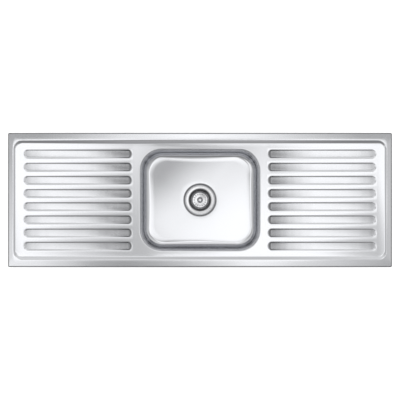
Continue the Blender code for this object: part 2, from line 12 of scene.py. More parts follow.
import bmesh
import bpy
from mathutils import Matrix, Vector


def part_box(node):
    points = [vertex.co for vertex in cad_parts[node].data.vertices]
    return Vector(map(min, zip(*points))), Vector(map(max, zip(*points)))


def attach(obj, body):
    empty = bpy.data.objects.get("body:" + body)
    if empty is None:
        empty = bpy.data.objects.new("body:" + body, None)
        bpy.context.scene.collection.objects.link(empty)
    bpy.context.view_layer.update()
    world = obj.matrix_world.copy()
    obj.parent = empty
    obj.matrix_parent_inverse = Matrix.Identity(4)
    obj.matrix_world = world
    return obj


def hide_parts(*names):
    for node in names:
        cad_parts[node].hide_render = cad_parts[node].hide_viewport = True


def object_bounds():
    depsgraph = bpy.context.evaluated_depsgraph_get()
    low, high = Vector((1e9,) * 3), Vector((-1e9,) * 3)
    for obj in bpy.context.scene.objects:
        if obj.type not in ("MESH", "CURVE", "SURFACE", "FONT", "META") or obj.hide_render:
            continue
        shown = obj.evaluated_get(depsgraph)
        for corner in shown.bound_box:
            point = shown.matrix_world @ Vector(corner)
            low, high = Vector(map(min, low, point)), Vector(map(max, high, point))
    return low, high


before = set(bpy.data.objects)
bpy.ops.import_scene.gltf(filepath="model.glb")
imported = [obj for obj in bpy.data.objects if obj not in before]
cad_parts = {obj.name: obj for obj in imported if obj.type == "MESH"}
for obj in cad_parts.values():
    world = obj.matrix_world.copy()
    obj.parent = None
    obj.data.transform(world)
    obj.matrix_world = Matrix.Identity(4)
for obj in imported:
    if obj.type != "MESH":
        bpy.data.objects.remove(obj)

CAD_BOX = [list(corner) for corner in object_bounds()]
MM = 0.001
HALF_X, HALF_Y, RIM_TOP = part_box("deck")[1] / MM
print(f"sink {2 * HALF_X:.0f} x {2 * HALF_Y:.1f} mm, rim top {RIM_TOP:.1f} mm above the worktop")

# %% [markdown]
# ## Small helpers for nodes, colours and objects
#
# Both the materials and the Geometry Nodes trees are built from the same call.  It adds one node, sets its
# properties, and fills its inputs: a node or a socket is linked, and anything else becomes the input's own
# value.  Colours are written as hex codes, the way a paint chart gives them, and turned to linear light once.

# %% Node, colour and object helpers
def add(tree, kind, inputs=(), **settings):
    """A new node.  Its inputs come as {socket: value}, or as a row of values for its first sockets."""
    node = tree.nodes.new(kind)
    for name, value in settings.items():
        setattr(node, name, value)
    for key, value in (inputs if isinstance(inputs, dict) else dict(enumerate(inputs))).items():
        if isinstance(value, bpy.types.Node):
            value = value.outputs[0]
        if isinstance(value, bpy.types.NodeSocket):
            tree.links.new(value, node.inputs[key])
        else:
            node.inputs[key].default_value = value
    return node


def linear(code):
    """An sRGB hex colour such as "b9babd" as linear RGBA."""
    channels = [int(code[i : i + 2], 16) / 255 for i in (0, 2, 4)]
    return (*[c / 12.92 if c <= 0.04045 else ((c + 0.055) / 1.055) ** 2.4 for c in channels], 1)


def linked(name, data):
    """A new object in the scene that shows this mesh or camera."""
    made = bpy.data.objects.new(name, data)
    bpy.context.scene.collection.objects.link(made)
    return made


def object_from(name, bm):
    """A new object from a mesh that is being edited, which is closed."""
    mesh = bpy.data.meshes.new(name)
    bm.to_mesh(mesh)
    bm.free()
    return linked(name, mesh)


SATIN_COLOUR = "dcdde0"
print("the steel's colour in linear light is", [round(c, 3) for c in linear(SATIN_COLOUR)])

# %% [markdown]
# ## The camera
#
# The sink is seen from straight above, as in a plan, so its outline stays a true rectangle.  A long lens
# from six metres keeps the bowl's walls only just visible: they lean in by a few millimetres towards the
# floor, and the perspective adds the rest.

# %% Camera straight above
CAMERA_HEIGHT = 6.0
VIEW_WIDTH = 1.5865  # what the frame spans at the rim
camera = linked("camera", bpy.data.cameras.new("camera"))
camera.location = (0, 0, CAMERA_HEIGHT)
camera.data.lens = camera.data.sensor_width * (CAMERA_HEIGHT - RIM_TOP * MM) / VIEW_WIDTH
bpy.context.scene.camera = camera
bpy.context.scene.view_settings.view_transform = "Standard"
print(f"lens {camera.data.lens:.0f} mm")

# %% [markdown]
# ## Soft panels over the sink
#
# Polished steel shows what stands over it, so the light is the picture.  White panels hang over the sink.
# The middle one has bands of brighter and dimmer white running across it at a slant, which gives the two
# drainboards their slow change from bright to grey, and a small one in its centre does the same for the
# bowl's floor.  The rim slopes outwards and so looks past them, at four side panels.  All are hidden from
# the camera and still seen by the steel.

# %% Panels over the sink
PANEL_HEIGHT, CENTRE_DROP = 3.0, 0.01
MIDDLE_X, MIDDLE_Y = 1.25, 0.5  # half sizes of the middle panel, in metres
OUTER_X, OUTER_Y = 3.1, 1.7
SLANT = (0.83, -0.55)
MIDDLE_BANDS = (  # place along the slant in metres, and the brightness there
    (-1.08, 1.42), (-0.73, 1.42), (-0.60, 1.34), (-0.53, 1.19), (-0.47, 1.06), (-0.32, 0.86), (-0.20, 0.64),
    (-0.06, 0.68), (0.0, 0.80), (0.15, 1.08), (0.34, 1.40), (0.70, 1.42), (0.75, 1.26), (0.80, 1.04),
    (0.85, 0.88), (0.90, 0.76), (1.06, 0.66),
)
CENTRE_HALF = (0.27, 0.23)  # the small panel that the bowl's floor sees
CENTRE_SLANT = (0.5, -0.87)
CENTRE_BANDS = (
    (-0.34, 0.28), (-0.23, 0.34), (-0.155, 0.70), (-0.12, 0.87), (-0.10, 0.98), (-0.07, 1.12), (-0.037, 1.20),
    (0.0, 1.30), (0.06, 1.36), (0.12, 1.42), (0.34, 1.42),
)
BACK_BANDS = (
    (-1.12, 0.54), (-0.98, 0.52), (-0.83, 0.64), (-0.61, 0.88), (-0.44, 1.12), (0.0, 1.36), (0.3, 1.22),
    (0.45, 1.05), (0.6, 0.88), (0.83, 0.70), (0.98, 0.54), (1.12, 0.56),
)
FRONT_BANDS = (
    (-1.12, 1.15), (-0.98, 1.12), (-0.83, 0.90), (-0.61, 0.54), (-0.44, 0.47), (-0.3, 0.55), (-0.15, 0.68),
    (0.0, 0.84), (0.15, 1.02), (0.3, 1.25), (0.45, 1.16), (0.6, 0.96), (0.83, 0.82), (0.98, 0.68), (1.12, 0.58),
)
LEFT_BANDS = ((-0.3, 1.0), (0.0, 0.84), (0.3, 0.60))
RIGHT_BANDS = ((-0.3, 0.72), (0.0, 0.78), (0.3, 0.72))


def banded(tree, value, bands, unit=1.0, scale=1.0):
    """A grey that follows value through (place, brightness) bands; unit is the places' size in metres."""
    low, high = bands[0][0], bands[-1][0]
    fraction = add(tree, "ShaderNodeMapRange", (value, low * unit, high * unit))
    tones = add(tree, "ShaderNodeValToRGB", (fraction,))
    ramp = tones.color_ramp
    while len(ramp.elements) < len(bands):
        ramp.elements.new(0.5)
    for stop, (where, brightness) in zip(ramp.elements, bands):
        stop.position = (where - low) / (high - low)
        stop.color = (*[brightness * scale] * 3, 1)
    ramp.interpolation = "EASE"
    return tones


def panel_glow(name, direction, bands):
    """An emission material whose strength follows the bands in this direction of the panel."""
    made = bpy.data.materials.new(name)
    made.use_nodes = True
    tree = made.node_tree
    tree.nodes.clear()
    place = add(tree, "ShaderNodeTexCoord").outputs["Object"]
    along = add(tree, "ShaderNodeVectorMath", (place, (*direction, 0)), operation="DOT_PRODUCT")
    brightest = max(value for _, value in bands)
    tones = banded(tree, along.outputs["Value"], bands, scale=1 / brightest)
    glow = add(tree, "ShaderNodeEmission", {"Color": tones, "Strength": brightest})
    add(tree, "ShaderNodeOutputMaterial", {"Surface": glow})
    return made


def stage_plane(name, low, high, level, material):
    """A level rectangle between two corners (x, y), facing down onto the sink or up from the floor."""
    bm = bmesh.new()
    corners = ((low[0], low[1]), (high[0], low[1]), (high[0], high[1]), (low[0], high[1]))
    bm.faces.new([bm.verts.new((x, y, level)) for x, y in corners])
    made = object_from(name, bm)
    made.data.materials.append(material)
    return made


for name, low, high, direction, bands in (
    ("panel_middle", (-MIDDLE_X, -MIDDLE_Y), (MIDDLE_X, MIDDLE_Y), SLANT, MIDDLE_BANDS),
    ("panel_centre", [-half for half in CENTRE_HALF], CENTRE_HALF, CENTRE_SLANT, CENTRE_BANDS),
    ("panel_back", (-OUTER_X, MIDDLE_Y), (OUTER_X, OUTER_Y), (1, 0), BACK_BANDS),
    ("panel_front", (-OUTER_X, -OUTER_Y), (OUTER_X, -MIDDLE_Y), (1, 0), FRONT_BANDS),
    ("panel_left", (-OUTER_X, -MIDDLE_Y), (-MIDDLE_X, MIDDLE_Y), (0, 1), LEFT_BANDS),
    ("panel_right", (MIDDLE_X, -MIDDLE_Y), (OUTER_X, MIDDLE_Y), (0, 1), RIGHT_BANDS),
):
    level = PANEL_HEIGHT - CENTRE_DROP * (name == "panel_centre")
    panel = stage_plane(name, low, high, level, panel_glow(name, direction, bands))
    panel.visible_camera = False
print(f"six panels, {2 * OUTER_X:.1f} x {2 * OUTER_Y:.1f} m together, {PANEL_HEIGHT:.1f} m up")

# %% [markdown]
# ## Floor and room
#
# The floor is white paper that glows a little, so that it stays white beside the sink.  It is left out of
# the steel's reflections and is clear from below, so that the underside can be looked at from under it.
# The room is a plain light all round, more of it high at the back and less below the sink, which draws the
# dark lines along flutes and rolled edges.

# %% White floor and the room's light
FLOOR_HALF_SIZE, FLOOR_DROP, FLOOR_GLOW = 12.0, 0.002, 0.7
WHITE = (1, 1, 1, 1)
floor_material = bpy.data.materials.new("white_paper_backdrop")
floor_material.use_nodes = True
tree = floor_material.node_tree
shader = tree.nodes["Principled BSDF"]
for name, value in {"Base Color": linear("f4f4f4"), "Roughness": 0.9, "Emission Color": WHITE,
                    "Emission Strength": FLOOR_GLOW}.items():
    shader.inputs[name].default_value = value
behind = add(tree, "ShaderNodeNewGeometry").outputs["Backfacing"]
one_sided = add(tree, "ShaderNodeMixShader", (behind, shader, add(tree, "ShaderNodeBsdfTransparent")))
tree.links.new(one_sided.outputs[0], tree.nodes["Material Output"].inputs["Surface"])
floor = stage_plane("floor", (-FLOOR_HALF_SIZE,) * 2, (FLOOR_HALF_SIZE,) * 2, CAD_BOX[0][2] - FLOOR_DROP,
                    floor_material)
floor.visible_glossy = False

ROOM_LIGHT, ROOM_BACK, ROOM_BELOW = 0.58, 0.60, -0.55
world = bpy.data.worlds.new("room")
bpy.context.scene.world = world
world.use_nodes = True
tree = world.node_tree
toward = add(tree, "ShaderNodeTexCoord").outputs["Generated"]
axes = add(tree, "ShaderNodeSeparateXYZ", (toward,)).outputs
above = add(tree, "ShaderNodeMath", (axes["Z"], 0.0), operation="MAXIMUM")
below = add(tree, "ShaderNodeMath", (above, axes["Z"]), operation="SUBTRACT")
tone = add(tree, "ShaderNodeMath", (axes["Y"], ROOM_BACK), operation="MULTIPLY")
upper = add(tree, "ShaderNodeMath", (tone, above, ROOM_LIGHT), operation="MULTIPLY_ADD")
whole = add(tree, "ShaderNodeMath", (below, ROOM_BELOW, upper), operation="MULTIPLY_ADD")
background = tree.nodes["Background"]
background.inputs["Color"].default_value = WHITE
tree.links.new(whole.outputs[0], background.inputs["Strength"])
print(f"room light {ROOM_LIGHT} all round, {ROOM_LIGHT + ROOM_BELOW:.2f} straight below")

# %% [markdown]
# ## Skins made of sections
#
# Every sheet-metal surface here is a skin over a row of cross-sections: the rim, a flute, the bowl and each
# turned part.  A section is first drawn with sharp corners, as a drawing would give it, and then `soften`
# puts a true arc into each bend.  `skin` joins section to section with quads, so the mesh flows along the
# shape and no Boolean is needed.

# %% Sections, bends and skins
SHEET = 1.0  # thickness of the pressed steel
WELD_GAP, SLIVER = 0.004, 0.0005  # points closer than this are one, and edges shorter than this go


def soften(path, reaches, steps=5):
    """The path with its inner corners rounded; reaches says how far from each corner its arc begins."""
    path = [Vector(point) for point in path]
    done = [path[0]]
    for before, corner, after, reach in zip(path, path[1:], path[2:], reaches):
        if not reach:
            done.append(corner)
            continue
        start = corner + (before - corner).normalized() * reach
        end = corner + (after - corner).normalized() * reach
        weight = math.cos((corner - before).angle(after - corner, 0) / 2)
        for k in range(steps + 1):
            s = k / steps
            shares = ((1 - s) ** 2, 2 * weight * s * (1 - s), s * s)
            done.append((start * shares[0] + corner * shares[1] + end * shares[2]) / sum(shares))
    return done + [path[-1]]


def split(before, after, pieces):
    """Points that divide a long straight into equal pieces."""
    return [before.lerp(after, k / pieces) for k in range(pieces + 1)]


def skin(bm, sections, loop=True):
    """Quads from each section to the next, and from the last to the first if they go all the way round."""
    rows = [[bm.verts.new(point) for point in section] for section in sections]
    following = rows[1:] + rows[:1] if loop else rows[1:]
    for row, beside in zip(rows, following):
        for k in range(len(row) - 1):
            bm.faces.new((row[k], beside[k], beside[k + 1], row[k + 1]))


def finished(name, bm, material=None, upright=False):
    """An object from a mesh drawn in millimetres; upright turns an open sheet's level faces upwards."""
    bmesh.ops.remove_doubles(bm, verts=bm.verts, dist=WELD_GAP)
    bmesh.ops.dissolve_degenerate(bm, edges=bm.edges, dist=SLIVER)
    bmesh.ops.recalc_face_normals(bm, faces=bm.faces)
    if upright and sum(face.normal.z * face.calc_area() for face in bm.faces) < 0:
        bmesh.ops.reverse_faces(bm, faces=bm.faces)
    bmesh.ops.scale(bm, vec=(MM, MM, MM), verts=bm.verts)
    made = object_from(name, bm)
    made.data.shade_smooth()
    if material:
        made.data.materials.append(material)
    return made


def skinned(name, sections, material=None, loop=True, upright=False):
    """A finished object whose only surface is a skin over these sections."""
    bm = bmesh.new()
    skin(bm, sections, loop)
    return finished(name, bm, material, upright)


def applied(obj):
    """Swap the object's mesh for its evaluated one, without its modifiers."""
    graph = bpy.context.evaluated_depsgraph_get()
    mesh = bpy.data.meshes.new_from_object(obj.evaluated_get(graph))
    mesh.name = obj.name
    obj.modifiers.clear()
    obj.data = mesh
    return obj


def thickened(obj, thickness, offset=-1):
    """Solidify in mm; -1 grows away from the face normals and 0 both ways."""
    sheet = obj.modifiers.new("sheet", "SOLIDIFY")
    sheet.thickness = thickness * MM
    sheet.offset = offset
    sheet.use_even_offset = True
    return applied(obj)


def placed(obj, body, slot, *nodes, crease=40):
    """Shade the piece, hang it on its body, and hide the CAD nodes it stands for; slot is not used."""
    obj.data.set_sharp_from_angle(angle=math.radians(crease))
    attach(obj, body)
    if nodes:
        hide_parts(*nodes)
    print(f"{obj.name}: {len(obj.data.polygons)} faces on {body}")


quarter_bend = soften([(0, 0, 0), (1, 0, 0), (1, 0, 1)], [1])
print(f"a softened corner is an arc of {len(quarter_bend) - 2} points")

# %% [markdown]
# ## The deck's levels
#
# The deck is sunk inside the rim and falls towards the bowl, so that water runs in.  It is level round the
# bowl.  Each flute starts shallow at the end of the sink and, over its last third, curves down to its
# deepest point beside the bowl.

# %% Levels of the deck and of the flutes
DECK_HIGH, DECK_LOW = 3.0, -2.0
DECK_LEVEL_X = 265.0
RIM_END, STEP_END = 22.0, 6.0  # the rim's width at the sink's ends, and its step's
STEP_FOOT_X = HALF_X - RIM_END - STEP_END
FLUTE_SHALLOW, FLUTE_DEEP = 2.0, 6.6
FLUTE_BEND_X, FLUTE_END_X = 420.0, 281.0


def deck_level(x):
    share = (abs(x) - DECK_LEVEL_X) / (STEP_FOOT_X - DECK_LEVEL_X)
    return DECK_LOW + (DECK_HIGH - DECK_LOW) * min(max(share, 0), 1)


def flute_level(x):
    share = min(max((FLUTE_BEND_X - abs(x)) / (FLUTE_BEND_X - FLUTE_END_X), 0), 1)
    return deck_level(x) - FLUTE_SHALLOW - (FLUTE_DEEP - FLUTE_SHALLOW) * share**2


print(f"a flute's floor falls from {flute_level(STEP_FOOT_X):.1f} to {flute_level(FLUTE_END_X):.1f} mm")

# %% [markdown]
# ## One flute
#
# A drainboard is one shape repeated eight times, so only one tile is drawn: a strip of deck with one flute
# pressed into it.  Its sections run from the tile's edge, over the flute's wall, to the middle of the
# flute's floor.  The outer end is a half circle.  Next to the bowl the floor ends nearly square, with a
# longer slope, as a press tool leaves it where the flute is deepest.

# %% A tile of drainboard with one flute
FLUTES, FLUTE_PITCH = 8, 52.3
FLUTE_OUTER, FLUTE_INNER = 699.6, 269.5
FLUTE_HALF, FLUTE_WALL, FLUTE_SOFT = 17.0, 4.0, 2.1
TILE_OUTER, TILE_INNER = 704.0, DECK_LEVEL_X
TILE_HALF = FLUTE_PITCH / 2
ARC_STEPS, RUN_STEPS, RUN_CROWDING = 8, 18, 0.7  # in a quarter circle, and along the straight sides
CENTRE_OUTER = FLUTE_OUTER - FLUTE_HALF
CENTRE_INNER = FLUTE_INNER + FLUTE_HALF
FLOOR_HALF = FLUTE_HALF - FLUTE_WALL


def tile_run():
    """x along the flute's straight sides, closer together where the floor bends down."""
    shares = [(k / RUN_STEPS) ** RUN_CROWDING for k in range(RUN_STEPS + 1)]
    return [CENTRE_OUTER + (CENTRE_INNER - CENTRE_OUTER) * share for share in shares]


def tile_back_half():
    """(edge, top, floor, middle) in plan, from the flute's outer tip round its back to its inner tip."""
    rows = []
    for k in range(ARC_STEPS):
        turn = math.pi / 2 * k / ARC_STEPS
        c, s = math.cos(turn), math.sin(turn)
        share = 2 * k / ARC_STEPS
        edge = (TILE_OUTER, TILE_HALF * share)
        if share > 1:
            edge = (TILE_OUTER + (CENTRE_OUTER - TILE_OUTER) * (share - 1), TILE_HALF)
        top = (CENTRE_OUTER + FLUTE_HALF * c, FLUTE_HALF * s)
        floor_at = (CENTRE_OUTER + FLOOR_HALF * c, FLOOR_HALF * s)
        rows.append((edge, top, floor_at, (CENTRE_OUTER, 0)))
    rows += [((x, TILE_HALF), (x, FLUTE_HALF), (x, FLOOR_HALF), (x, 0)) for x in tile_run()]
    for k in range(1, ARC_STEPS + 1):
        turn = math.pi / 2 * (1 - k / ARC_STEPS)
        c, s = math.cos(turn), math.sin(turn)
        share = 2 * k / ARC_STEPS
        edge = (CENTRE_INNER + (TILE_INNER - CENTRE_INNER) * share, TILE_HALF)
        if share > 1:
            edge = (TILE_INNER, TILE_HALF * (2 - share))
        top = (CENTRE_INNER - FLUTE_HALF * c, FLUTE_HALF * s)
        floor_at = (CENTRE_INNER - (CENTRE_INNER - FLUTE_END_X) * c**0.5, FLOOR_HALF * s**0.5)
        rows.append((edge, top, floor_at, (CENTRE_INNER, 0)))
    return rows


def flute_section(row, side):
    edge, top, floor_at, middle = [(x, side * y) for x, y in row]
    path = [(*edge, deck_level(edge[0])), (*top, deck_level(top[0])),
            (*floor_at, flute_level(floor_at[0])), (*middle, flute_level(middle[0]))]
    return soften(path, (FLUTE_SOFT, FLUTE_SOFT), steps=4)


back = tile_back_half()
front = back[-2:0:-1]
sections = [flute_section(row, 1) for row in back] + [flute_section(row, -1) for row in front]
flute_tile = skinned("flute_tile", sections, upright=True)
print(f"one tile: {len(flute_tile.data.polygons)} faces")

# %% [markdown]
# ## Two fluted boards with Geometry Nodes
#
# The tile is copied along a line by Instance on Points, the whole board is turned half round for the other
# side of the bowl, and the seams between tiles are welded.  The count and the pitch are inputs of the
# tree, so the same tree would make a longer or a coarser board.

# %% A tree that repeats a tile on both sides
def new_tree(name, sizes):
    """An empty Geometry Nodes tree with a mesh input, named size inputs, a material, and a mesh output."""
    tree = bpy.data.node_groups.new(name, "GeometryNodeTree")
    tree.interface.new_socket("Geometry", in_out="INPUT", socket_type="NodeSocketGeometry")
    for label, kind in {**sizes, "Material": "Material"}.items():
        tree.interface.new_socket(label, in_out="INPUT", socket_type=f"NodeSocket{kind}")
    tree.interface.new_socket("Geometry", in_out="OUTPUT", socket_type="NodeSocketGeometry")
    print(f"tree {name} with inputs", *sizes)
    return tree, add(tree, "NodeGroupInput").outputs


def close_tree(tree, geometry, material):
    """The tree's usual end: real geometry instead of instances, with its material."""
    real = add(tree, "GeometryNodeRealizeInstances", (geometry,))
    painted = add(tree, "GeometryNodeSetMaterial", {"Geometry": real, "Material": material})
    add(tree, "NodeGroupOutput", (painted,))


def grown(obj, tree, **sizes):
    """Run the tree on the object with these named inputs and keep the plain mesh."""
    modifier = obj.modifiers.new(tree.name, "NODES")
    modifier.node_group = tree
    for item in tree.interface.items_tree:
        if item.in_out == "INPUT" and item.name in sizes:
            modifier[item.identifier] = sizes[item.name]
    return applied(obj)


board_tree, given = new_tree("two_fluted_boards", {"Count": "Int", "Pitch": "Float"})
gaps = add(board_tree, "ShaderNodeMath", (given["Count"], 1.0), operation="SUBTRACT")
reach = add(board_tree, "ShaderNodeMath", (gaps, given["Pitch"]), operation="MULTIPLY")
first = add(board_tree, "ShaderNodeMath", (reach, -0.5), operation="MULTIPLY")
start = add(board_tree, "ShaderNodeCombineXYZ", {"Y": first})
step = add(board_tree, "ShaderNodeCombineXYZ", {"Y": given["Pitch"]})
row = {"Count": given["Count"], "Start Location": start, "Offset": step}
line = add(board_tree, "GeometryNodeMeshLine", row)
board = add(board_tree, "GeometryNodeInstanceOnPoints", {"Points": line, "Instance": given["Geometry"]})
other = add(board_tree, "GeometryNodeTransform", {"Geometry": board, "Rotation": (0, 0, math.pi)})
both = add(board_tree, "GeometryNodeJoinGeometry", (board,))
board_tree.links.new(other.outputs[0], both.inputs[0])
real = add(board_tree, "GeometryNodeRealizeInstances", (both,))
welded = add(board_tree, "GeometryNodeMergeByDistance", {"Geometry": real, "Distance": 0.01 * MM})
close_tree(board_tree, welded, given["Material"])

# %% [markdown]
# ## Metals
#
# The deck and bowl are 304 stainless sheet, belt-polished along the sink's length.  The fine scratches are
# far too small to see one by one.  What they give the eye is a reflection smeared across the grain, so the
# shader is anisotropic with its tangent along the sheet, and a faint stretched noise varies the roughness
# in streaks.  Turned parts carry their scratches in circles, so their tangent goes round the drain's axis.

# %% Stainless steel, satin and spun
def principled(name, colour, roughness, metallic):
    """(material, tree, shader, Object coordinates) of a new material with these plain values."""
    made = bpy.data.materials.new(name)
    made.use_nodes = True
    tree = made.node_tree
    shader = tree.nodes["Principled BSDF"]
    shader.inputs["Base Color"].default_value = linear(colour)
    shader.inputs["Roughness"].default_value = roughness
    shader.inputs["Metallic"].default_value = metallic
    return made, tree, shader, add(tree, "ShaderNodeTexCoord").outputs["Object"]


NOISE_SPREAD = (0.25, 0.75)  # nearly all of a noise texture's values lie between these


def metal(name, colour, roughness, grain=None, streak_mm=(60, 1.5, 60), streak=0.01, amount=0.6):
    """A metal with streaks of slightly different polish, sized in mm, and a grain: "long" or "round"."""
    made, tree, shader, place = principled(name, colour, roughness, 1.0)
    scale = [1 / (size * MM) for size in streak_mm]
    stretched = add(tree, "ShaderNodeMapping", {"Vector": place, "Scale": scale})
    noise = add(tree, "ShaderNodeTexNoise", {"Vector": stretched, "Scale": 1.0, "Detail": 3.0})
    rough = add(tree, "ShaderNodeMapRange", (noise, *NOISE_SPREAD, roughness - streak, roughness + streak))
    tree.links.new(rough.outputs[0], shader.inputs["Roughness"])
    if grain:
        shader.inputs["Anisotropic"].default_value = amount
        shader.inputs["Anisotropic Rotation"].default_value = 0.25
    if grain == "long":
        tangent = add(tree, "ShaderNodeCombineXYZ", {"X": 1.0, "Z": 0.02})
        tree.links.new(tangent.outputs[0], shader.inputs["Tangent"])
    if grain == "round":
        around = add(tree, "ShaderNodeVectorMath", (place, (0, 0, 1)), operation="CROSS_PRODUCT")
        tree.links.new(around.outputs[0], shader.inputs["Tangent"])
    return made


SATIN = metal("stainless_304_belt_polished", SATIN_COLOUR, 0.11, grain="long")
BOWL_STEEL = metal("stainless_304_deep_drawn_polished", SATIN_COLOUR, 0.10, grain="long", amount=0.4)
SPUN = metal("stainless_304_spun", "dedee0", 0.12, grain="round", streak_mm=(3, 3, 3), amount=0.85)
print("materials:", SATIN.name, BOWL_STEEL.name, SPUN.name)

# %% [markdown]
# ## Painted shade in the flutes and on the rolled edge
#
# The flutes, above all at their ends next to the bowl, and the rolled edge of the rim are painted darker than
# the lands. This is painted shade for the shade and dark reflections that fall there, and both are also a little
# rougher. The shader finds the flutes by their depth below the deck and the edge by its distance from the
# outline.

# %% Painted shade in the flutes and on the rolled edge
FLUTE_PAINTED_SHADE = (  # distance from the middle of the sink in mm, and the share of the steel's colour kept there; the rest is painted shade
    (262, 1.0), (272, 0.42), (295, 0.44), (310, 0.50), (330, 0.60), (360, 0.76), (390, 0.85), (420, 0.93),
    (460, 1.0), (580, 1.0), (620, 0.95), (660, 0.82), (694, 0.62), (702, 1.0),
)
FLUTE_FROM, FLUTE_FULL, FLUTE_ROUGHER = 1.7, 1.95, 0.05  # mm below the deck where the painted shade begins and is full
EDGE_FROM, EDGE_FULL, EDGE_PAINTED_SHADE, EDGE_ROUGHER = 5.5, 3.5, 0.42, 0.2  # mm in from the outline
tree = SATIN.node_tree
shader = tree.nodes["Principled BSDF"]
axes = add(tree, "ShaderNodeSeparateXYZ", (add(tree, "ShaderNodeTexCoord").outputs["Object"],)).outputs
from_middle = add(tree, "ShaderNodeMath", (axes["X"],), operation="ABSOLUTE")
across = add(tree, "ShaderNodeMath", (axes["Y"],), operation="ABSOLUTE")
level_at = [value * MM for value in (DECK_LEVEL_X, STEP_FOOT_X, DECK_LOW, DECK_HIGH)]
level = add(tree, "ShaderNodeMapRange", (from_middle, *level_at))
depth = add(tree, "ShaderNodeMath", (level, axes["Z"]), operation="SUBTRACT")
in_flute = add(tree, "ShaderNodeMapRange", (depth, FLUTE_FROM * MM, FLUTE_FULL * MM))
# painted shade along the flutes, deepest at their ends beside the bowl
flute_painted_shade = banded(tree, from_middle, FLUTE_PAINTED_SHADE, MM)
end_gap = add(tree, "ShaderNodeMath", (from_middle, -HALF_X * MM))
side_gap = add(tree, "ShaderNodeMath", (across, -HALF_Y * MM))
outside = add(tree, "ShaderNodeMath", (end_gap, side_gap), operation="MAXIMUM")
at_edge = add(tree, "ShaderNodeMapRange", (outside, -EDGE_FROM * MM, -EDGE_FULL * MM))
colour = add(tree, "ShaderNodeMix", {"Factor": in_flute, 6: linear(SATIN_COLOUR), 7: flute_painted_shade},
             data_type="RGBA", blend_type="MULTIPLY").outputs[2]
# the rolled edge is painted darker: painted shade for the dark reflections along the rim's outline
painted_edge_shade = [EDGE_PAINTED_SHADE * value for value in linear(SATIN_COLOUR)[:3]] + [1]
colour = add(tree, "ShaderNodeMix", {"Factor": at_edge, 6: colour, 7: painted_edge_shade}, data_type="RGBA").outputs[2]
tree.links.new(colour, shader.inputs["Base Color"])
rough = shader.inputs["Roughness"].links[0].from_socket
rough = add(tree, "ShaderNodeMath", (in_flute, FLUTE_ROUGHER, rough), operation="MULTIPLY_ADD")
rough = add(tree, "ShaderNodeMath", (at_edge, EDGE_ROUGHER, rough), operation="MULTIPLY_ADD")
tree.links.new(rough.outputs[0], shader.inputs["Roughness"])
# the shares printed are of the steel's colour kept in the flutes; the darkening is painted shade
print("grey left in the flutes:", [share for _, share in FLUTE_PAINTED_SHADE])

# %% [markdown]
# ## The deck in one sheet
#
# The boards are grown from the tile and taken into one mesh with everything that lies round them: the
# level field round the bowl with its rolled lip, and the frame that steps up to the rim and rolls down to
# the worktop.  All their edges meet the tiles' edges point for point, so a weld makes one watertight skin,
# and Solidify gives it the sheet's one millimetre.

# %% Outlines that meet the tiles point for point
RIM_SIDE, STEP_SIDE, STEP_CORNER, STEP_SOFT = 30.2, 11.0, 34.0, 2.4
RIM_FALL, RIM_ROUND, RIM_CORNER, RIM_EDGE_BOTTOM = 1.3, 5.0, 6.0, 0.5
BOWL_HALF_X, BOWL_HALF_Y, BOWL_CORNER = 236.0, 200.0, 83.0
LIP_ROUND, LIP_LANDING, LIP_BOTTOM = 6.0, 0.8, -14.0
BLOCK_HALF_Y = FLUTES * TILE_HALF
LEVEL_FROM_X, LEVEL_FROM_Y = 252.0, 207.6  # a ring of points between the boards and the lip
FIELD_STEPS = 76  # along the front and back of the field between the boards
CORNER_STEPS = 8


def block_side_x():
    """x of the points along the back of both boards and the field between them, from right to left."""
    tile = [row[0][0] for row in back if abs(row[0][1] - TILE_HALF) < 0.001]
    field = [TILE_INNER * (1 - 2 * k / FIELD_STEPS) for k in range(1, FIELD_STEPS)]
    return tile + field + [-x for x in reversed(tile)]


def block_end_y():
    steps = FLUTES * ARC_STEPS
    return [BLOCK_HALF_Y * (2 * k / steps - 1) for k in range(steps + 1)]


def stations():
    """(quarter, share, turn) of every section round the deck, anticlockwise from the right side's front.

    On a straight, share is the place along it, from -1 to 1; in a corner, turn is the angle passed.
    """
    end = [(y / BLOCK_HALF_Y, None) for y in block_end_y()]
    side = [(-x / TILE_OUTER, None) for x in block_side_x()]
    corner = [(1, math.pi / 2 * k / CORNER_STEPS) for k in range(1, CORNER_STEPS)]
    return [(quarter, *spot) for quarter in range(4) for spot in (end if quarter % 2 == 0 else side) + corner]


def on_outline(half_x, half_y, radius, quarter, share, turn):
    """The station's point on a rounded rectangle."""
    reach, run = (half_x, half_y - radius) if quarter % 2 == 0 else (half_y, half_x - radius)
    away, along = reach, share * run
    if turn is not None:
        away, along = reach - radius + radius * math.cos(turn), run + radius * math.sin(turn)
    return [(away, along), (-along, away), (-away, -along), (along, -away)][quarter]


def rim_section(station):
    """From the boards' edge up the step, over the rim and down to the worktop."""
    inner = on_outline(TILE_OUTER, BLOCK_HALF_Y, 0, *station)
    foot = on_outline(STEP_FOOT_X, HALF_Y - RIM_SIDE - STEP_SIDE, STEP_CORNER - STEP_END, *station)
    top = on_outline(HALF_X - RIM_END, HALF_Y - RIM_SIDE, STEP_CORNER, *station)
    outside = on_outline(HALF_X, HALF_Y, RIM_CORNER, *station)
    edge_level = RIM_TOP - RIM_FALL - RIM_FALL * RIM_ROUND / (RIM_SIDE - RIM_ROUND)
    path = [(*inner, deck_level(inner[0])), (*foot, deck_level(foot[0])), (*top, RIM_TOP),
            (*outside, edge_level), (*outside, RIM_EDGE_BOTTOM)]
    return soften(path, (STEP_SOFT, STEP_SOFT, RIM_ROUND))


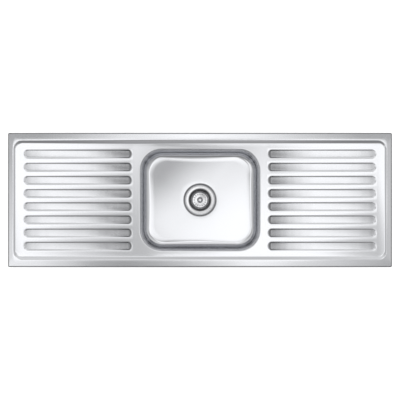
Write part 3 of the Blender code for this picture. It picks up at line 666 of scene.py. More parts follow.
def opening_point(inset, share, along_x):
    """A point of the bowl's opening on its back (along_x) or right side; share runs from corner to corner."""
    radius = BOWL_CORNER - inset
    reach, other = (BOWL_HALF_Y, BOWL_HALF_X) if along_x else (BOWL_HALF_X, BOWL_HALF_Y)
    run = other - inset - radius
    length = share * (run + radius * math.pi / 4)
    turn = max(abs(length) - run, 0) / radius
    away = reach - inset - radius + radius * math.cos(turn)
    along = math.copysign(min(abs(length), run) + radius * math.sin(turn), length)
    return (-along, away) if along_x else (away, along)


def opening_stations():
    ends = FLUTES * ARC_STEPS
    right = [(2 * k / ends - 1, False, 1) for k in range(ends)]
    top = [(2 * k / FIELD_STEPS - 1, True, 1) for k in range(FIELD_STEPS)]
    return right + top + [(s, a, -1) for s, a, _ in right] + [(s, a, -1) for s, a, _ in top]


def lip_section(station):
    """From the field's edge to the bowl's opening and down its rolled lip."""
    share, along_x, side = station
    edge = (-share * TILE_INNER, BLOCK_HALF_Y) if along_x else (TILE_INNER, share * BLOCK_HALF_Y)
    rolled = opening_point(-LIP_ROUND, share, along_x)
    opening = opening_point(0, share, along_x)
    level_from = (-share * LEVEL_FROM_X, LEVEL_FROM_Y) if along_x else (LEVEL_FROM_X, share * LEVEL_FROM_Y)
    landing = opening_point(-LIP_ROUND - LIP_LANDING, share, along_x)
    path = [(*edge, deck_level(edge[0]))] + [(*spot, DECK_LOW) for spot in (level_from, landing, rolled, opening)]
    path = soften([*path, (*opening, LIP_BOTTOM)], (0, 0, 0, LIP_ROUND), steps=8)
    return [Vector((side * p.x, side * p.y, p.z)) for p in path]


print(f"{len(stations())} sections round the rim, {len(opening_stations())} round the bowl")

# %% [markdown]
# ## Growing and welding the deck
#
# The tree turns the one tile into both boards.  The rim and the lip are skinned into the same mesh, the
# points that meet are welded, and the sheet is given its thickness last.

# %% Grow the boards and weld the deck together
boards = grown(flute_tile, board_tree, Count=FLUTES, Pitch=FLUTE_PITCH * MM, Material=SATIN)
bm = bmesh.new()
bm.from_mesh(boards.data)
bmesh.ops.scale(bm, vec=(1 / MM, 1 / MM, 1 / MM), verts=bm.verts)
skin(bm, [rim_section(station) for station in stations()])
skin(bm, [lip_section(station) for station in opening_stations()])
bpy.data.objects.remove(boards)
deck = finished("deck_pressing", bm, SATIN, upright=True)
thickened(deck, SHEET)
placed(deck, "sink", "satin_stainless", "deck")

# %% [markdown]
# ## The bowl
#
# The bowl is drawn from its own sheet and seam-welded under the lip, and the weld is ground away, so the
# walls carry on from the deck without a line.  It uses the lip's outline again, with sections that run down
# the drafted wall, round the wide fillet, and over the floor, which falls to a round recess for the waste.

# %% A section down the bowl
BOWL_FLOOR, FLOOR_FALL, WALL_FOOT_INSET, WALL_FILLET = -193.5, 1.5, 7.1, 26.9
RECESS_RADIUS, RECESS_WALL, RECESS_DEPTH, RECESS_SOFT, WASTE_HOLE = 67.0, 4.5, 3.0, 2.0, 45.0
BRIM_GAP = 0.05  # between the lip's sheet and the bowl's
RECESS_FLOOR = BOWL_FLOOR - FLOOR_FALL - RECESS_DEPTH


def bowl_section(station):
    share, along_x, side = station
    brim = opening_point(0, share, along_x)
    foot = opening_point(WALL_FOOT_INSET, share, along_x)
    out = Vector(brim).normalized()
    rings = ((RECESS_RADIUS, BOWL_FLOOR - FLOOR_FALL), (RECESS_RADIUS - RECESS_WALL, RECESS_FLOOR),
             (WASTE_HOLE, RECESS_FLOOR))
    path = [(*brim, LIP_BOTTOM - BRIM_GAP), (*foot, BOWL_FLOOR)]
    path += [(out.x * radius, out.y * radius, level) for radius, level in rings]
    path = soften(path, (WALL_FILLET, RECESS_SOFT, RECESS_SOFT), steps=8)
    wall, fillet, floor_run, recess = path[:2], path[2:9], path[9:11], path[11:]
    path = split(*wall, 6) + fillet + split(*floor_run, 8) + recess
    return [Vector((side * p.x, side * p.y, p.z)) for p in path]


sections = [bowl_section(station) for station in opening_stations()]
bowl = skinned("bowl_pressing", sections, BOWL_STEEL, upright=True)
thickened(bowl, SHEET)
placed(bowl, "sink", "satin_stainless", "bowl")

# %% [markdown]
# ## Turned parts of the waste
#
# The waste is a stack of round parts on one axis.  Each is drawn as half a profile, its corners are
# softened as a form tool or a press would leave them, and the profile is carried round the axis.  An
# outline can pull the round shape in to flats, for a nut or a hexagon head.

# %% Profiles carried round an axis
TURN_STEPS = 96


def rounded(path, bend):
    """The path with every bend softened by the same reach, or less on a short straight."""
    path = [Vector(point) for point in path]
    trios = zip(path, path[1:], path[2:])
    return soften(path, [min(bend, 0.45 * (b - a).length, 0.45 * (c - b).length) for a, b, c in trios], steps=3)


def turned(name, profile, material, bend=0.5, steps=TURN_STEPS, closed=True, base=RECESS_FLOOR, flats=0):
    """A profile of (radius, height) in mm round the z axis; with flats, points past them are drawn in."""
    path = [Vector((radius, 0, base + height)) for radius, height in profile]
    if closed:
        middle = (path[0] + path[-1]) / 2
        path = [middle, *path, middle]
    path = rounded(path, bend)
    widest = max(point.x for point in path)
    sections = []
    for k in range(steps):
        turn = math.tau * k / steps
        reach = widest
        if flats:
            sector = math.tau / flats
            reach = widest * math.cos(sector / 2) / math.cos(turn % sector - sector / 2)
        spun = [(min(p.x, reach), p.z) for p in path]
        sections.append([(r * math.cos(turn), r * math.sin(turn), z) for r, z in spun])
    return skinned(name, sections, material)


print(f"turned parts have {TURN_STEPS} sides")

# %% [markdown]
# ## Screw threads with Geometry Nodes
#
# A thread is a wave that runs round and down a cylinder, one pitch for each turn.  The tree moves the
# points of a finely divided wall inwards by such a wave, and only where the wall lies at the thread's own
# radius and between its two ends.  It cuts the strainer's thread and the eight clip screws.

# %% A tree that presses a thread into a cylinder
THREAD_SIZES = dict.fromkeys(("Radius", "Pitch", "Depth", "Low", "High"), "Float")
WALL_MATCH = 0.02  # a point this near to the thread's radius, in mm, is on its wall
thread_tree, given = new_tree("screw_thread", THREAD_SIZES)
place = add(thread_tree, "GeometryNodeInputPosition")
axes = add(thread_tree, "ShaderNodeSeparateXYZ", (place,)).outputs
flat = add(thread_tree, "ShaderNodeVectorMath", (place, (1, 1, 0)), operation="MULTIPLY")
radius = add(thread_tree, "ShaderNodeVectorMath", (flat,), operation="LENGTH").outputs["Value"]
angle = add(thread_tree, "ShaderNodeMath", (axes["Y"], axes["X"]), operation="ARCTAN2")
passed = add(thread_tree, "ShaderNodeMath", (angle, 1 / math.tau), operation="MULTIPLY")
turns = add(thread_tree, "ShaderNodeMath", (axes["Z"], given["Pitch"]), operation="DIVIDE")
phase = add(thread_tree, "ShaderNodeMath", (turns, passed), operation="SUBTRACT")
half_wave = add(thread_tree, "ShaderNodeMath", (phase, 0.5), operation="PINGPONG")
wave = add(thread_tree, "ShaderNodeMath", (half_wave, -2.0), operation="MULTIPLY")
inwards = add(thread_tree, "ShaderNodeMath", (given["Depth"], wave), operation="MULTIPLY")
on_wall = add(thread_tree, "ShaderNodeMath", (radius, given["Radius"], WALL_MATCH * MM), operation="COMPARE")
above = add(thread_tree, "ShaderNodeMath", (axes["Z"], given["Low"]), operation="GREATER_THAN")
below = add(thread_tree, "ShaderNodeMath", (axes["Z"], given["High"]), operation="LESS_THAN")
between = add(thread_tree, "ShaderNodeMath", (above, below), operation="MULTIPLY")
chosen = add(thread_tree, "ShaderNodeMath", (on_wall, between), operation="MULTIPLY")
outward = add(thread_tree, "ShaderNodeVectorMath", (flat,), operation="NORMALIZE")
push = add(thread_tree, "ShaderNodeVectorMath", {0: outward, "Scale": inwards}, operation="SCALE")
cut = add(thread_tree, "GeometryNodeSetPosition",
          {"Geometry": given["Geometry"], "Selection": chosen, "Offset": push})
close_tree(thread_tree, cut, given["Material"])


def thread_wall(radius, high, low, pitch, points=6):
    """(radius, height) points down a wall, close enough to carry a thread."""
    count = round((high - low) / pitch * points)
    return [(radius, high + (low - high) * k / count) for k in range(count + 1)]

# %% [markdown]
# ## Slots and notches with Geometry Nodes
#
# The basket has a ring of radial slots with round ends, as a slotting punch leaves them, and the big lock
# nut has notches for its spanner.  One tree draws the punch as a filleted rectangle, extrudes it, copies it
# round a circle, and takes all copies out of the piece in one Boolean.

# %% A tree that punches a ring of slots
PUNCH_SIZES = {"Count": "Int", **dict.fromkeys(("Circle", "Length", "Width", "Low", "High"), "Float")}
ROUND_END = 0.49  # the corner's radius as a share of the slot's width
punch_tree, given = new_tree("ring_of_slots", PUNCH_SIZES)
oblong = add(punch_tree, "GeometryNodeCurvePrimitiveQuadrilateral",
             {"Width": given["Length"], "Height": given["Width"]})
corner = add(punch_tree, "ShaderNodeMath", (given["Width"], ROUND_END), operation="MULTIPLY")
outline = add(punch_tree, "GeometryNodeFilletCurve", {"Curve": oblong, "Radius": corner, "Count": 5},
              mode="POLY")
face = add(punch_tree, "GeometryNodeFillCurve", {"Curve": outline}, mode="NGONS")
tall = add(punch_tree, "ShaderNodeMath", (given["High"], given["Low"]), operation="SUBTRACT")
upper = add(punch_tree, "GeometryNodeExtrudeMesh", {"Mesh": face, "Offset Scale": tall, "Individual": False})
under = add(punch_tree, "GeometryNodeFlipFaces", (face,))
shell = add(punch_tree, "GeometryNodeJoinGeometry", (upper,))
punch_tree.links.new(under.outputs[0], shell.inputs[0])
punch = add(punch_tree, "GeometryNodeMergeByDistance", {"Geometry": shell, "Distance": 0.002 * MM})
spot = add(punch_tree, "ShaderNodeCombineXYZ", {"X": given["Circle"], "Z": given["Low"]})
punch = add(punch_tree, "GeometryNodeTransform", {"Geometry": punch, "Translation": spot})
spots = add(punch_tree, "GeometryNodeMeshLine", {"Count": given["Count"], "Offset": (0, 0, 0)})
number = add(punch_tree, "GeometryNodeInputIndex")
whole = add(punch_tree, "ShaderNodeMath", (number, math.tau), operation="MULTIPLY")
turn = add(punch_tree, "ShaderNodeMath", (whole, given["Count"]), operation="DIVIDE")
turns = add(punch_tree, "ShaderNodeCombineXYZ", {"Z": turn})
punches = add(punch_tree, "GeometryNodeInstanceOnPoints",
              {"Points": spots, "Instance": punch, "Rotation": turns})
real = add(punch_tree, "GeometryNodeRealizeInstances", (punches,))
cut = add(punch_tree, "GeometryNodeMeshBoolean", {"Mesh 1": given["Geometry"], "Mesh 2": real},
          operation="DIFFERENCE")
close_tree(punch_tree, cut, given["Material"])

# %% [markdown]
# ## The waste's finishes
#
# The strainer is deep-drawn stainless, spun bright, with its polish in circles.  The nuts are zinc-plated
# steel, a cool grey that is neither mirror nor matt.  The washers are black nitrile rubber, which scatters
# light from a fine skin of talc, and one grey fibre ring lets the nut turn without dragging the rubber.

# %% Rubber, fibre, zinc and bronze
def grainy(name, dark, light, roughness, cell_mm, bump_mm, metallic=0.0, cells=False, stretch=(1, 1, 1)):
    """A finish that varies between two colours in grains or cells of this size, and stands up by bump."""
    made, tree, shader, place = principled(name, light, roughness, metallic)
    scale = [1 / (cell_mm * MM * part) for part in stretch]
    sized = add(tree, "ShaderNodeMapping", {"Vector": place, "Scale": scale})
    if cells:
        pattern = add(tree, "ShaderNodeTexVoronoi", {"Vector": sized, "Scale": 1.0})
        height = pattern.outputs["Distance"]
        value = add(tree, "ShaderNodeSeparateColor", (pattern.outputs["Color"],))
    else:
        height = value = add(tree, "ShaderNodeTexNoise", {"Vector": sized, "Scale": 1.0, "Detail": 4.0})
    mixed = add(tree, "ShaderNodeMix", {"Factor": value, 6: linear(dark), 7: linear(light)}, data_type="RGBA")
    tree.links.new(mixed.outputs[2], shader.inputs["Base Color"])
    bump = add(tree, "ShaderNodeBump", {"Height": height, "Distance": bump_mm * MM, "Strength": 1.0})
    tree.links.new(bump.outputs[0], shader.inputs["Normal"])
    return made


ZINC = metal("zinc_plated_steel", "b4b6b3", 0.3, streak_mm=(4, 4, 4), streak=0.06)
BRONZE = metal("phosphor_bronze_spring", "c9a06a", 0.28, streak_mm=(6, 6, 6), streak=0.04)
RUBBER = grainy("black_nitrile_rubber", "151515", "232324", 0.62, cell_mm=0.8, bump_mm=0.02)
FIBRE = grainy("vulcanised_fibre", "5c5751", "7d776f", 0.8, cell_mm=0.6, bump_mm=0.03, stretch=(4, 1, 1))
print("finishes:", *[material.name for material in (ZINC, BRONZE, RUBBER, FIBRE)])

# %% [markdown]
# ## Painted shade round the drain
#
# The deep wall of the strainer's cup and the stepped edge of the recess are painted darker than what lies round
# them.
# This is painted shade for the shade and dark reflections in these hollows, and it follows the distance from the
# drain's axis.

# %% Painted shade in rings round the drain's axis
def painted_shade_rings(material, bands):
    """Multiply the metal's colour by a share that follows the distance in mm from the z axis, as painted shade.
    """
    tree = material.node_tree
    shader = tree.nodes["Principled BSDF"]
    place = add(tree, "ShaderNodeTexCoord").outputs["Object"]
    flat = add(tree, "ShaderNodeVectorMath", (place, (1, 1, 0)), operation="MULTIPLY")
    radius = add(tree, "ShaderNodeVectorMath", (flat,), operation="LENGTH").outputs["Value"]
    plain = tuple(shader.inputs["Base Color"].default_value)
    mixed = add(tree, "ShaderNodeMix", {"Factor": 1.0, 6: plain, 7: banded(tree, radius, bands, MM)},
                data_type="RGBA", blend_type="MULTIPLY")
    tree.links.new(mixed.outputs[2], shader.inputs["Base Color"])


CUP_PAINTED_SHADE = (  # mm from the axis, and the share of the metal's colour kept there; the rest is painted shade
    (30.0, 1.0), (34.0, 0.8), (35.5, 0.42), (40.0, 0.30), (45.0, 0.36), (48.5, 0.95), (51.0, 1.0), (60.0, 1.0),
)
RECESS_PAINTED_SHADE = ((57.5, 0.75), (60.0, 0.45), (65.0, 0.36), (68.0, 0.6), (70.0, 1.0), (300.0, 1.0))
# painted shade on the cup's deep wall and on the recess's step
painted_shade_rings(SPUN, CUP_PAINTED_SHADE)
painted_shade_rings(BOWL_STEEL, RECESS_PAINTED_SHADE)
print("greyest ring of the cup at", min(CUP_PAINTED_SHADE, key=lambda band: band[1])[0], "mm")

# %% [markdown]
# ## Strainer body
#
# The body is clamped in the bowl's recess.  A wide flange sits on the steel, a tapered cup takes the basket,
# and the outlet below carries the drain pipe.  Its outside is threaded for the lock nut, and a cross bar at
# the foot of the cup holds the basket's pin.

# %% Turn the strainer body and cut its thread
FLANGE_RADIUS, BODY_THREAD, BODY_PITCH, BODY_CUT = 57.0, 43.3, 2.3, 0.9
OUTLET_BORE, OUTLET_THREAD, OUTLET_END = 19.5, 23.7, -64.0
CROSS_BAR_LOW, CROSS_BAR_HIGH = -49.0, -46.0
outside = [(FLANGE_RADIUS, 3.0), (FLANGE_RADIUS, 2.1), (46.5, 2.1), (44.6, 0.9), (43.5, -1.0)]
outside += thread_wall(BODY_THREAD, -2, -30, BODY_PITCH)
outside += [(40.2, -36), (38.4, -40), (34.6, -42), (25, -43.6), (OUTLET_THREAD, -45)]
outside += [(OUTLET_THREAD, OUTLET_END)]
inside = [(OUTLET_BORE, OUTLET_END), (OUTLET_BORE, -43), (24, -41.5), (34, -40), (37, -38), (38, -34.5)]
inside += [(38.9, -16), (41.5, -4.5), (42.4, -1), (44.2, 1.4), (47.5, 2.9), (56.2, 3.4)]
strainer = turned("strainer_cup", outside + inside, SPUN, bend=0.6)
grown(strainer, thread_tree, Radius=BODY_THREAD * MM, Pitch=BODY_PITCH * MM, Depth=BODY_CUT * MM,
      Low=(RECESS_FLOOR - 29) * MM, High=(RECESS_FLOOR - 3) * MM, Material=SPUN)
placed(strainer, "sink", "bright_stainless", "strainer_body", crease=50)

# %% [markdown]
# ## Cross bar
#
# A hub with four arms stands at the foot of the cup and guides the basket's pin.  Its outline in plan is one
# radius for each angle, so it is skinned round the axis like a turned part.

# %% Cast the cross bar: a hub with four arms into the cup's wall
HUB_EYE, HUB_RADIUS, ARM_HALF, ARM_END, CAST_SOFT = 5.3, 8.2, 1.5, 19.9, 0.4
CROSS_STEPS = 4 * TURN_STEPS


def cross_radius(turn):
    """How far the cross reaches at this angle: the hub's circle, or an arm's end where an arm is."""
    off = abs((turn + math.pi / 4) % (math.pi / 2) - math.pi / 4)
    return max(HUB_RADIUS, min(ARM_END / math.cos(off), ARM_HALF / max(math.sin(off), 0.001)))


sections = []
for k in range(CROSS_STEPS):
    turn = math.tau * k / CROSS_STEPS
    reach = cross_radius(turn)
    low, high = RECESS_FLOOR + CROSS_BAR_LOW, RECESS_FLOOR + CROSS_BAR_HIGH
    path = [(HUB_EYE, 0, low), (reach, 0, low), (reach, 0, high), (HUB_EYE, 0, high), (HUB_EYE, 0, low)]
    sections.append([(p.x * math.cos(turn), p.x * math.sin(turn), p.z) for p in rounded(path, CAST_SOFT)])
placed(skinned("cross_bar", sections, SPUN), "sink", "bright_stainless")

# %% [markdown]
# ## Washers, lock nut, tailpiece and coupling nut
#
# Below the bowl the waste is pulled tight by a large ring nut on a fibre ring and a rubber washer.  The
# tailpiece hangs from the outlet by an eight-sided coupling nut, and goes on into the house's drain.

# %% The fixings of the waste
TAIL_RADIUS, TAIL_WALL, TAIL_END, TAIL_TOP = 19.0, 1.0, -165.0, OUTLET_END - 3.6
for name, inner, outer, low, high, material, slot in (
    ("flange_gasket", 47, 56, 0.3, 1.8, RUBBER, "black_rubber"),
    ("body_washer", 44, 56, -4.3, -1.3, RUBBER, "black_rubber"),
    ("friction_ring", 44, 55, -5.6, -4.6, FIBRE, "grey_fibre"),
    ("tailpiece_washer", 19.6, 23.4, OUTLET_END - 3.3, OUTLET_END - 0.3, RUBBER, "black_rubber"),
):
    profile = [(outer, high), (outer, low), (inner, low), (inner, high)]
    placed(turned(name + "_moulded", profile, material, bend=0.4), "sink", slot, name)

NOTCHES, NOTCH_CIRCLE, NOTCH_SIZE = 6, 54.5, 8.0
lock_profile = [(53, -5.9), (53, -9), (48.5, -9.5), (48.5, -17), (43.9, -17), (43.9, -5.9)]
lock_nut = turned("lock_nut_cast", lock_profile, ZINC, 0.7)
grown(lock_nut, punch_tree, Count=NOTCHES, Circle=NOTCH_CIRCLE * MM, Length=NOTCH_SIZE * MM,
      Width=NOTCH_SIZE * MM, Low=(RECESS_FLOOR - 12) * MM, High=(RECESS_FLOOR + 1) * MM, Material=ZINC)
placed(lock_nut, "sink", "zinc_plate", "lock_nut")

collar, bore = 23.3, TAIL_RADIUS - TAIL_WALL
tail_profile = [(collar, TAIL_TOP), (collar, TAIL_TOP - 1.5), (TAIL_RADIUS, TAIL_TOP - 1.5)]
tail_profile += [(TAIL_RADIUS, TAIL_END), (bore, TAIL_END), (bore, TAIL_TOP)]
placed(turned("tailpiece_tube", tail_profile, SPUN, 0.4), "sink", "bright_stainless", "tailpiece")

NUT_CORNER, NUT_TOP, NUT_END, NUT_PLAY = 31.0, -48.0, -75.0, 0.4
shoulder, neck, socket = TAIL_TOP - 2, TAIL_RADIUS + NUT_PLAY, OUTLET_THREAD + NUT_PLAY
nut_profile = [(NUT_CORNER, NUT_TOP), (NUT_CORNER, NUT_END), (neck, NUT_END), (neck, shoulder)]
nut_profile += [(socket, shoulder), (socket, NUT_TOP)]
coupling = turned("coupling_nut_forged", nut_profile, ZINC, 1.6, steps=TURN_STEPS * 2, flats=8)
placed(coupling, "sink", "zinc_plate", "coupling_nut", crease=20)

# %% [markdown]
# ## Basket, knob, stem and stopper
#
# The basket is spun from thin sheet and turns on the stem.  Lifting the knob lifts basket and stopper
# together.  The stopper closes the outlet when the pin is pushed through the cross bar, where a small
# bronze spring holds it.

# %% What lifts out of the drain
SLOTS, SLOT_CENTRE, SLOT_LENGTH, SLOT_WIDTH = 16, 25.0, 9.0, 3.0
STEM_RADIUS, STEM_BORE = 3.0, 3.3
basket_profile = [(37.6, -15.6), (37.6, -17), (35.2, -17.4), (33.4, -28.5), (31, -31.2), (12, -31.8)]
basket_profile += [(10, -34), (3.4, -34), (3.4, -33.2), (9.6, -33.2), (11.6, -31), (30.6, -30.4)]
basket_profile += [(32.6, -28.1), (34.5, -16.6), (35.4, -15.2), (37, -15)]
basket = turned("basket_spun", basket_profile, SPUN, 0.8)
grown(basket, punch_tree, Count=SLOTS, Circle=SLOT_CENTRE * MM, Length=SLOT_LENGTH * MM, Width=SLOT_WIDTH * MM,
      Low=(RECESS_FLOOR - 36) * MM, High=(RECESS_FLOOR - 26) * MM, Material=SPUN)
placed(basket, "basket", "bright_stainless", "basket")

knob_profile = [(0, -14), (4, -14.2), (6.6, -15.2), (7.5, -17), (6.8, -18.6), (4.6, -19.6), (4.2, -26)]
knob_profile += [(5.4, -27.5), (5.4, -29), (STEM_BORE, -29), (STEM_BORE, -19), (0, -19)]
stem_profile = [(0, -19.3), (STEM_RADIUS, -19.3), (STEM_RADIUS, -34.3), (7, -34.3), (7, -35.5)]
stem_profile += [(STEM_RADIUS, -35.5), (STEM_RADIUS, -51), (2, -52.5), (0, -52.5)]
stopper_profile = [(20, -35.9), (24, -37.2), (25, -38.8), (25, -40.9), (22.5, -41), (18.6, -43)]
stopper_profile += [(17.4, -44.2), (9, -44.2), (STEM_BORE, -44.2), (STEM_BORE, -35.9)]
spring_profile = [(4.2, -44.6), (4.9, -47.5), (4.2, -50.4), (STEM_BORE, -50.4), (STEM_BORE, -44.6)]
for name, profile, material, slot, node, bend, closed in (
    ("knob_turned", knob_profile, SPUN, "bright_stainless", "knob", 0.7, False),
    ("stem_turned", stem_profile, SPUN, "bright_stainless", "stem", 0.3, False),
    ("stopper_moulded", stopper_profile, RUBBER, "black_rubber", "stopper", 0.8, True),
    ("spring_formed", spring_profile, BRONZE, "phosphor_bronze", "spring_clip", 0.5, True),
):
    placed(turned(name, profile, material, bend, 48, closed), "plug", slot, node)

# %% [markdown]
# ## Underside finishes
#
# Rails, stiffeners and clips are cut from galvanised strip.  Zinc freezes in flat crystals about a
# centimetre across, each a slightly different grey.  The pads that keep the bowl quiet are bitumen sheet
# with a pressed pattern, and the strip under the rim is closed-cell foam.

# %% Galvanised steel, bitumen and foam
GALVANISED = grainy("galvanised_steel_spangle", "8d9193", "b5b9ba", 0.42, 9.0, 0.02, metallic=1.0, cells=True)
BITUMEN = grainy("bitumen_sheet_embossed", "1b1b1c", "2f2f30", 0.75, 7.0, 0.5, cells=True)
FOAM = grainy("closed_cell_foam", "1c1c1d", "343436", 0.9, 0.9, 0.12, cells=True)
print("finishes:", GALVANISED.name, BITUMEN.name, FOAM.name)

# %% [markdown]
# ## Sealing strip under the rim
#
# The strip comes off a roll and is stuck down along the rim, so the tree does the same: it draws the path,
# rounds its corners, and sweeps the strip's section along it.  The section is the object's own mesh, and
# its shoulder slants in under the rim's rolled edge.

# %% A tree that lays a strip round a rectangle
STRIP_INSET, STRIP_WIDTH, STRIP_CORNER = 5.5, 8.0, 4.6
STRIP_TOP, STRIP_SHOULDER, STRIP_RIDGE = 5.3, 2.6, 0.5
strip_tree, given = new_tree("strip_round_the_rim", {"Length": "Float", "Width": "Float", "Corner": "Float"})
oblong = add(strip_tree, "GeometryNodeCurvePrimitiveQuadrilateral",
             {"Width": given["Length"], "Height": given["Width"]})
path = add(strip_tree, "GeometryNodeFilletCurve", {"Curve": oblong, "Radius": given["Corner"], "Count": 6},
           mode="POLY")
section = add(strip_tree, "GeometryNodeMeshToCurve", {"Mesh": given["Geometry"]})
swept = add(strip_tree, "GeometryNodeCurveToMesh", {"Curve": path, "Profile Curve": section})
close_tree(strip_tree, swept, given["Material"])

half = STRIP_WIDTH / 2
corners = [(-half, 0), (half, 0), (half, STRIP_SHOULDER), (STRIP_RIDGE, STRIP_TOP), (-half, STRIP_TOP)]
bm = bmesh.new()
ring = [bm.verts.new((x, y, 0)) for x, y in corners]
for pair in zip(ring, ring[1:] + ring[:1]):
    bm.edges.new(pair)
bmesh.ops.scale(bm, vec=(MM, MM, MM), verts=bm.verts)
strip = object_from("rim_seal_strip", bm)
grown(strip, strip_tree, Length=2 * (HALF_X - STRIP_INSET) * MM, Width=2 * (HALF_Y - STRIP_INSET) * MM,
      Corner=STRIP_CORNER * MM, Material=FOAM)
bm = bmesh.new()
bm.from_mesh(strip.data)
bmesh.ops.recalc_face_normals(bm, faces=bm.faces)
bm.to_mesh(strip.data)
bm.free()
placed(strip, "sink", "cellular_seal", "rim_seal", crease=30)

# %% [markdown]
# ## Folded strip: rails, stiffeners, brackets and claws
#
# These parts are all strip bent in a press brake.  Each is a path of (x, z) points seen from its end, with
# a real bend radius, pulled out to the strip's width and given its thickness.  A matrix then carries it to
# its place, so that one drawing serves every copy.

# %% Strip bent along a path
def folded(name, path, width, thickness, bend, material):
    """A strip whose middle layer follows path, centred on y."""
    path = rounded([(x, 0, z) for x, z in path], bend)
    sections = [[(p.x, side * width / 2, p.z) for p in path] for side in (-1, 1)]
    return thickened(skinned(name, sections, material, loop=False), thickness, offset=0)


def set_at(piece, x, y, z=0.0, turn=0.0, tilt=0.0):
    """Carry the mesh to its place: tilt about y, turn about z in degrees, then move in mm."""
    place = Matrix.Translation(Vector((x, y, z)) * MM) @ Matrix.Rotation(math.radians(turn), 4, "Z")
    piece.data.transform(place @ Matrix.Rotation(tilt, 4, "Y"))
    return piece


print("positions are set by matrix, in mm and degrees")

# %% [markdown]
# ## Rails and stiffeners
#
# A folded rail runs along each side under the rim, for the clips to pull on.  Two hat-shaped stiffeners lie
# across each drainboard from below, so that the board doesn't drum or sag.

# %% Rails under the rim and stiffeners under the boards
GAP = 0.3
RAIL_TOP = RIM_TOP - RIM_FALL - SHEET
RAIL_OUTSIDE, RAIL_WIDTH, RAIL_LIP, RAIL_DEPTH, RAIL_END_CLEAR, RAIL_BEND = 11.7, 9.5, 6.0, 11.7, 62.0, 1.2
SIDES = (("front", 0, -1, -90), ("back", 0, 1, 90), ("right", 1, 0, 0), ("left", -1, 0, 180))
top, bottom = RAIL_TOP - SHEET / 2, RAIL_TOP - RAIL_DEPTH + SHEET / 2
rail_path = [(-RAIL_OUTSIDE - RAIL_WIDTH, top), (-RAIL_OUTSIDE - SHEET / 2, top)]
rail_path += [(-RAIL_OUTSIDE - SHEET / 2, bottom), (-RAIL_OUTSIDE - RAIL_LIP, bottom)]
for side, x, y, turn in SIDES:
    length = 2 * ((HALF_Y if x else HALF_X) - RAIL_END_CLEAR)
    rail = folded(f"rail_{side}_folded", rail_path, length, SHEET, RAIL_BEND, GALVANISED)
    placed(set_at(rail, x * HALF_X, y * HALF_Y, turn=turn), "sink", "galvanised_steel", f"clip_rail_{side}")

STIFFENER_X, STIFFENER_LENGTH, HAT_HEIGHT, HAT_BEND = (452.0, 630.0), 430.0, 14.0, 2.0
hat_path = [(-31, 0), (-16, 0), (-13, -HAT_HEIGHT), (13, -HAT_HEIGHT), (16, 0), (31, 0)]
board_tilt = math.atan((DECK_HIGH - DECK_LOW) / (STEP_FOOT_X - DECK_LEVEL_X))
for side, name in ((-1, "left"), (1, "right")):
    for x, spot in zip(STIFFENER_X, ("inner", "outer")):
        level = deck_level(x) - FLUTE_SHALLOW - 1.5 * SHEET - GAP
        bar = folded(f"stiffener_{name}_{spot}_folded", hat_path, STIFFENER_LENGTH, SHEET, HAT_BEND, GALVANISED)
        placed(set_at(bar, side * x, 0, level, tilt=-side * board_tilt), "sink", "galvanised_steel",
               f"stiffener_{name}_{spot}")

# %% [markdown]
# ## Sound pads
#
# Pads of bitumen sheet are stuck on the four walls of the bowl and under its floor.  They are die-cut, so
# each has rounded corners and an edge that the die has pressed down a little.

# %% Wall pads and the floor pad
PAD_THICKNESS, PAD_HEIGHT, PAD_CORNER, PAD_SOFT = 3.0, 95.0, 12.0, 0.9
PAD_LONG, PAD_SHORT = 280.0, 210.0
FILLET_DROP, WALL_DRAFT = 28.0, 6.0
pad_low = BOWL_FLOOR + FILLET_DROP
pad_tilt = math.atan(WALL_DRAFT / (LIP_BOTTOM - pad_low))


def die_cut(name, half_y, half_z, material):
    """A pad standing in the y-z plane, with rounded corners and softened edges."""
    half = PAD_THICKNESS / 2
    sections = []
    for quarter in range(4):
        for k in range(CORNER_STEPS + 1):
            y, z = on_outline(half_y, half_z, PAD_CORNER, quarter, 1, math.pi / 2 * k / CORNER_STEPS)
            sections.append(rounded([(-half, 0, 0), (-half, y, z), (half, y, z), (half, 0, 0)], PAD_SOFT))
    return skinned(name, sections, material)


for side, x, y, turn in SIDES:
    reach, length = (BOWL_HALF_X, PAD_SHORT) if x else (BOWL_HALF_Y, PAD_LONG)
    pad = die_cut(f"pad_{side}_die_cut", length / 2, PAD_HEIGHT / 2, BITUMEN)
    out = reach - WALL_DRAFT / 2 + SHEET + GAP + PAD_THICKNESS / 2
    set_at(pad, out, 0, (LIP_BOTTOM + pad_low) / 2, tilt=pad_tilt)
    placed(set_at(pad, 0, 0, turn=turn), "sink", "bitumen_pad", f"sound_pad_{side}")

PAD_SPREAD = (0.12, 0.7)  # from the wall's foot towards the recess
sections = []
for share, along_x, side in opening_stations():
    foot = Vector(opening_point(WALL_DRAFT + FILLET_DROP, share, along_x))
    edges = []
    for spread in PAD_SPREAD:
        spot = foot.lerp(foot.normalized() * RECESS_RADIUS, spread)
        edges.append((spot * side, BOWL_FLOOR - FLOOR_FALL * spread - SHEET - 2 * GAP))
    (outer, outer_top), (inner, inner_top) = edges
    path = [(*outer, outer_top), (*outer, outer_top - PAD_THICKNESS)]
    path += [(*inner, inner_top - PAD_THICKNESS), (*inner, inner_top)]
    start = (Vector(path[0]) + Vector(path[-1])) / 2
    sections.append(rounded([start, *path, start], PAD_SOFT))
placed(skinned("pad_floor_die_cut", sections, BITUMEN), "sink", "bitumen_pad", "sound_pad_floor")

# %% [markdown]
# ## Worktop clips
#
# Eight clips pull the rim down.  A bracket hooks into the rail, a screw turns in it, and a claw climbs the
# screw until its tooth bites the underside of the worktop.  The clip is drawn once with its screw on the z
# axis, the screw gets its thread from the same tree as the strainer, and a matrix sets out the copies.

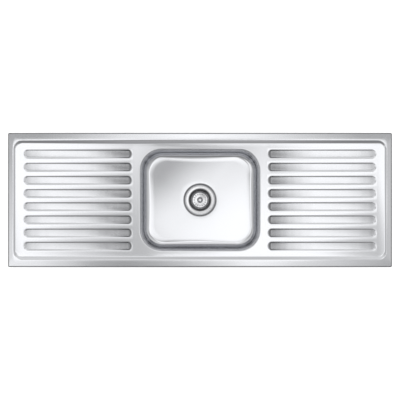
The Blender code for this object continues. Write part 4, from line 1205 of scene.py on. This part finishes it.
# %% Draw one clip
CLIP_HOOK, CLIP_WEB, CLIP_TOP, CLIP_BOTTOM, CLIP_FOOT = 14.5, -7.0, -4.0, -50.75, 8.0
CLIP_SHEET, CLIP_WIDTH, CLIP_BEND, CLAW_BEND = 1.5, 22.0, 2.0, 1.6
CLAW_SHEET, CLAW_WIDTH, CLAW_LEVEL, CLAW_REACH, CLAW_TOOTH = 2.5, 20.0, -47.25, 25.0, 4.0
SCREW_RADIUS, SCREW_TOP, SCREW_PITCH, SCREW_CUT, HEAD_RADIUS, HEAD_HEIGHT = 3.0, -1.0, 1.0, 0.45, 5.5, 4.0
DRILL_HIGH, DRILL_LOW = 20.0, -60.0


def drilled(piece):
    """The piece with the screw's clearance hole through it."""
    radius = SCREW_RADIUS + GAP
    profile = [(0, DRILL_HIGH), (radius, DRILL_HIGH), (radius, DRILL_LOW), (0, DRILL_LOW)]
    drill = turned("drill", profile, GALVANISED, 0.1, steps=24, closed=False, base=0)
    hole = piece.modifiers.new("hole", "BOOLEAN")
    hole.object = drill
    applied(piece)
    bpy.data.objects.remove(drill)
    return piece


bracket_path = [(CLIP_HOOK, CLIP_TOP), (CLIP_WEB, CLIP_TOP), (CLIP_WEB, CLIP_BOTTOM), (CLIP_FOOT, CLIP_BOTTOM)]
bracket = drilled(folded("bracket", bracket_path, CLIP_WIDTH, CLIP_SHEET, CLIP_BEND, GALVANISED))
claw_path = [(CLIP_WEB + CLIP_SHEET / 2 + GAP, CLAW_LEVEL), (CLAW_REACH, CLAW_LEVEL)]
claw_path += [(CLAW_REACH, CLAW_LEVEL + CLAW_SHEET / 2 + CLAW_TOOTH)]
claw = drilled(folded("claw", claw_path, CLAW_WIDTH, CLAW_SHEET, CLAW_BEND, GALVANISED))

head_top = CLIP_BOTTOM - CLIP_SHEET / 2 - GAP
shank = [(0, SCREW_TOP), (SCREW_RADIUS - 0.6, SCREW_TOP)]
shank += thread_wall(SCREW_RADIUS, SCREW_TOP - 0.6, head_top, SCREW_PITCH, 5)
shank_piece = turned("screw", shank + [(0, head_top)], ZINC, 0.1, steps=20, closed=False, base=0)
grown(shank_piece, thread_tree, Radius=SCREW_RADIUS * MM, Pitch=SCREW_PITCH * MM, Depth=SCREW_CUT * MM,
      Low=(head_top + 1) * MM, High=(SCREW_TOP - 0.8) * MM, Material=ZINC)
head_end = head_top - HEAD_HEIGHT
head_path = [(0, head_top), (HEAD_RADIUS, head_top), (HEAD_RADIUS, head_end), (0, head_end)]
head_piece = turned("screw_head", head_path, ZINC, 0.5, steps=48, closed=False, base=0, flats=6)
print(f"one screw: {len(shank_piece.data.polygons) + len(head_piece.data.polygons)} faces")

# %% [markdown]
# ## Eight clips in place
#
# Bracket, screw and claw are drawn once.  Each place gets its own copies, turned to face the nearest edge,
# and each copy hangs on the body that moves it.

# %% Set out the eight clips
CLIP_SETBACK, CLIP_APART = 28.7, 500.0
end_x, side_y = HALF_X - CLIP_SETBACK, HALF_Y - CLIP_SETBACK
places = [(-end_x, 0, 180)] + [(k * CLIP_APART, side_y, 90) for k in (-1, 0, 1)]
places += [(end_x, 0, 0)] + [(k * CLIP_APART, -side_y, -90) for k in (1, 0, -1)]
for number, (x, y, turn) in enumerate(places, 1):
    for piece, kind, body, slot in (
        (bracket, "bracket", "sink", "galvanised_steel"),
        (shank_piece, "screw", f"screw_{number}", "zinc_plate"),
        (head_piece, "screw_head", f"screw_{number}", "zinc_plate"),
        (claw, "claw", f"claw_{number}", "galvanised_steel"),
    ):
        copy = set_at(linked(f"{kind}_{number}_made", piece.data.copy()), x, y, turn=turn)
        placed(copy, body, slot, *([] if kind == "screw_head" else [f"clip_{number}_{kind}"]))
for piece in (bracket, shank_piece, head_piece, claw):
    bpy.data.objects.remove(piece)
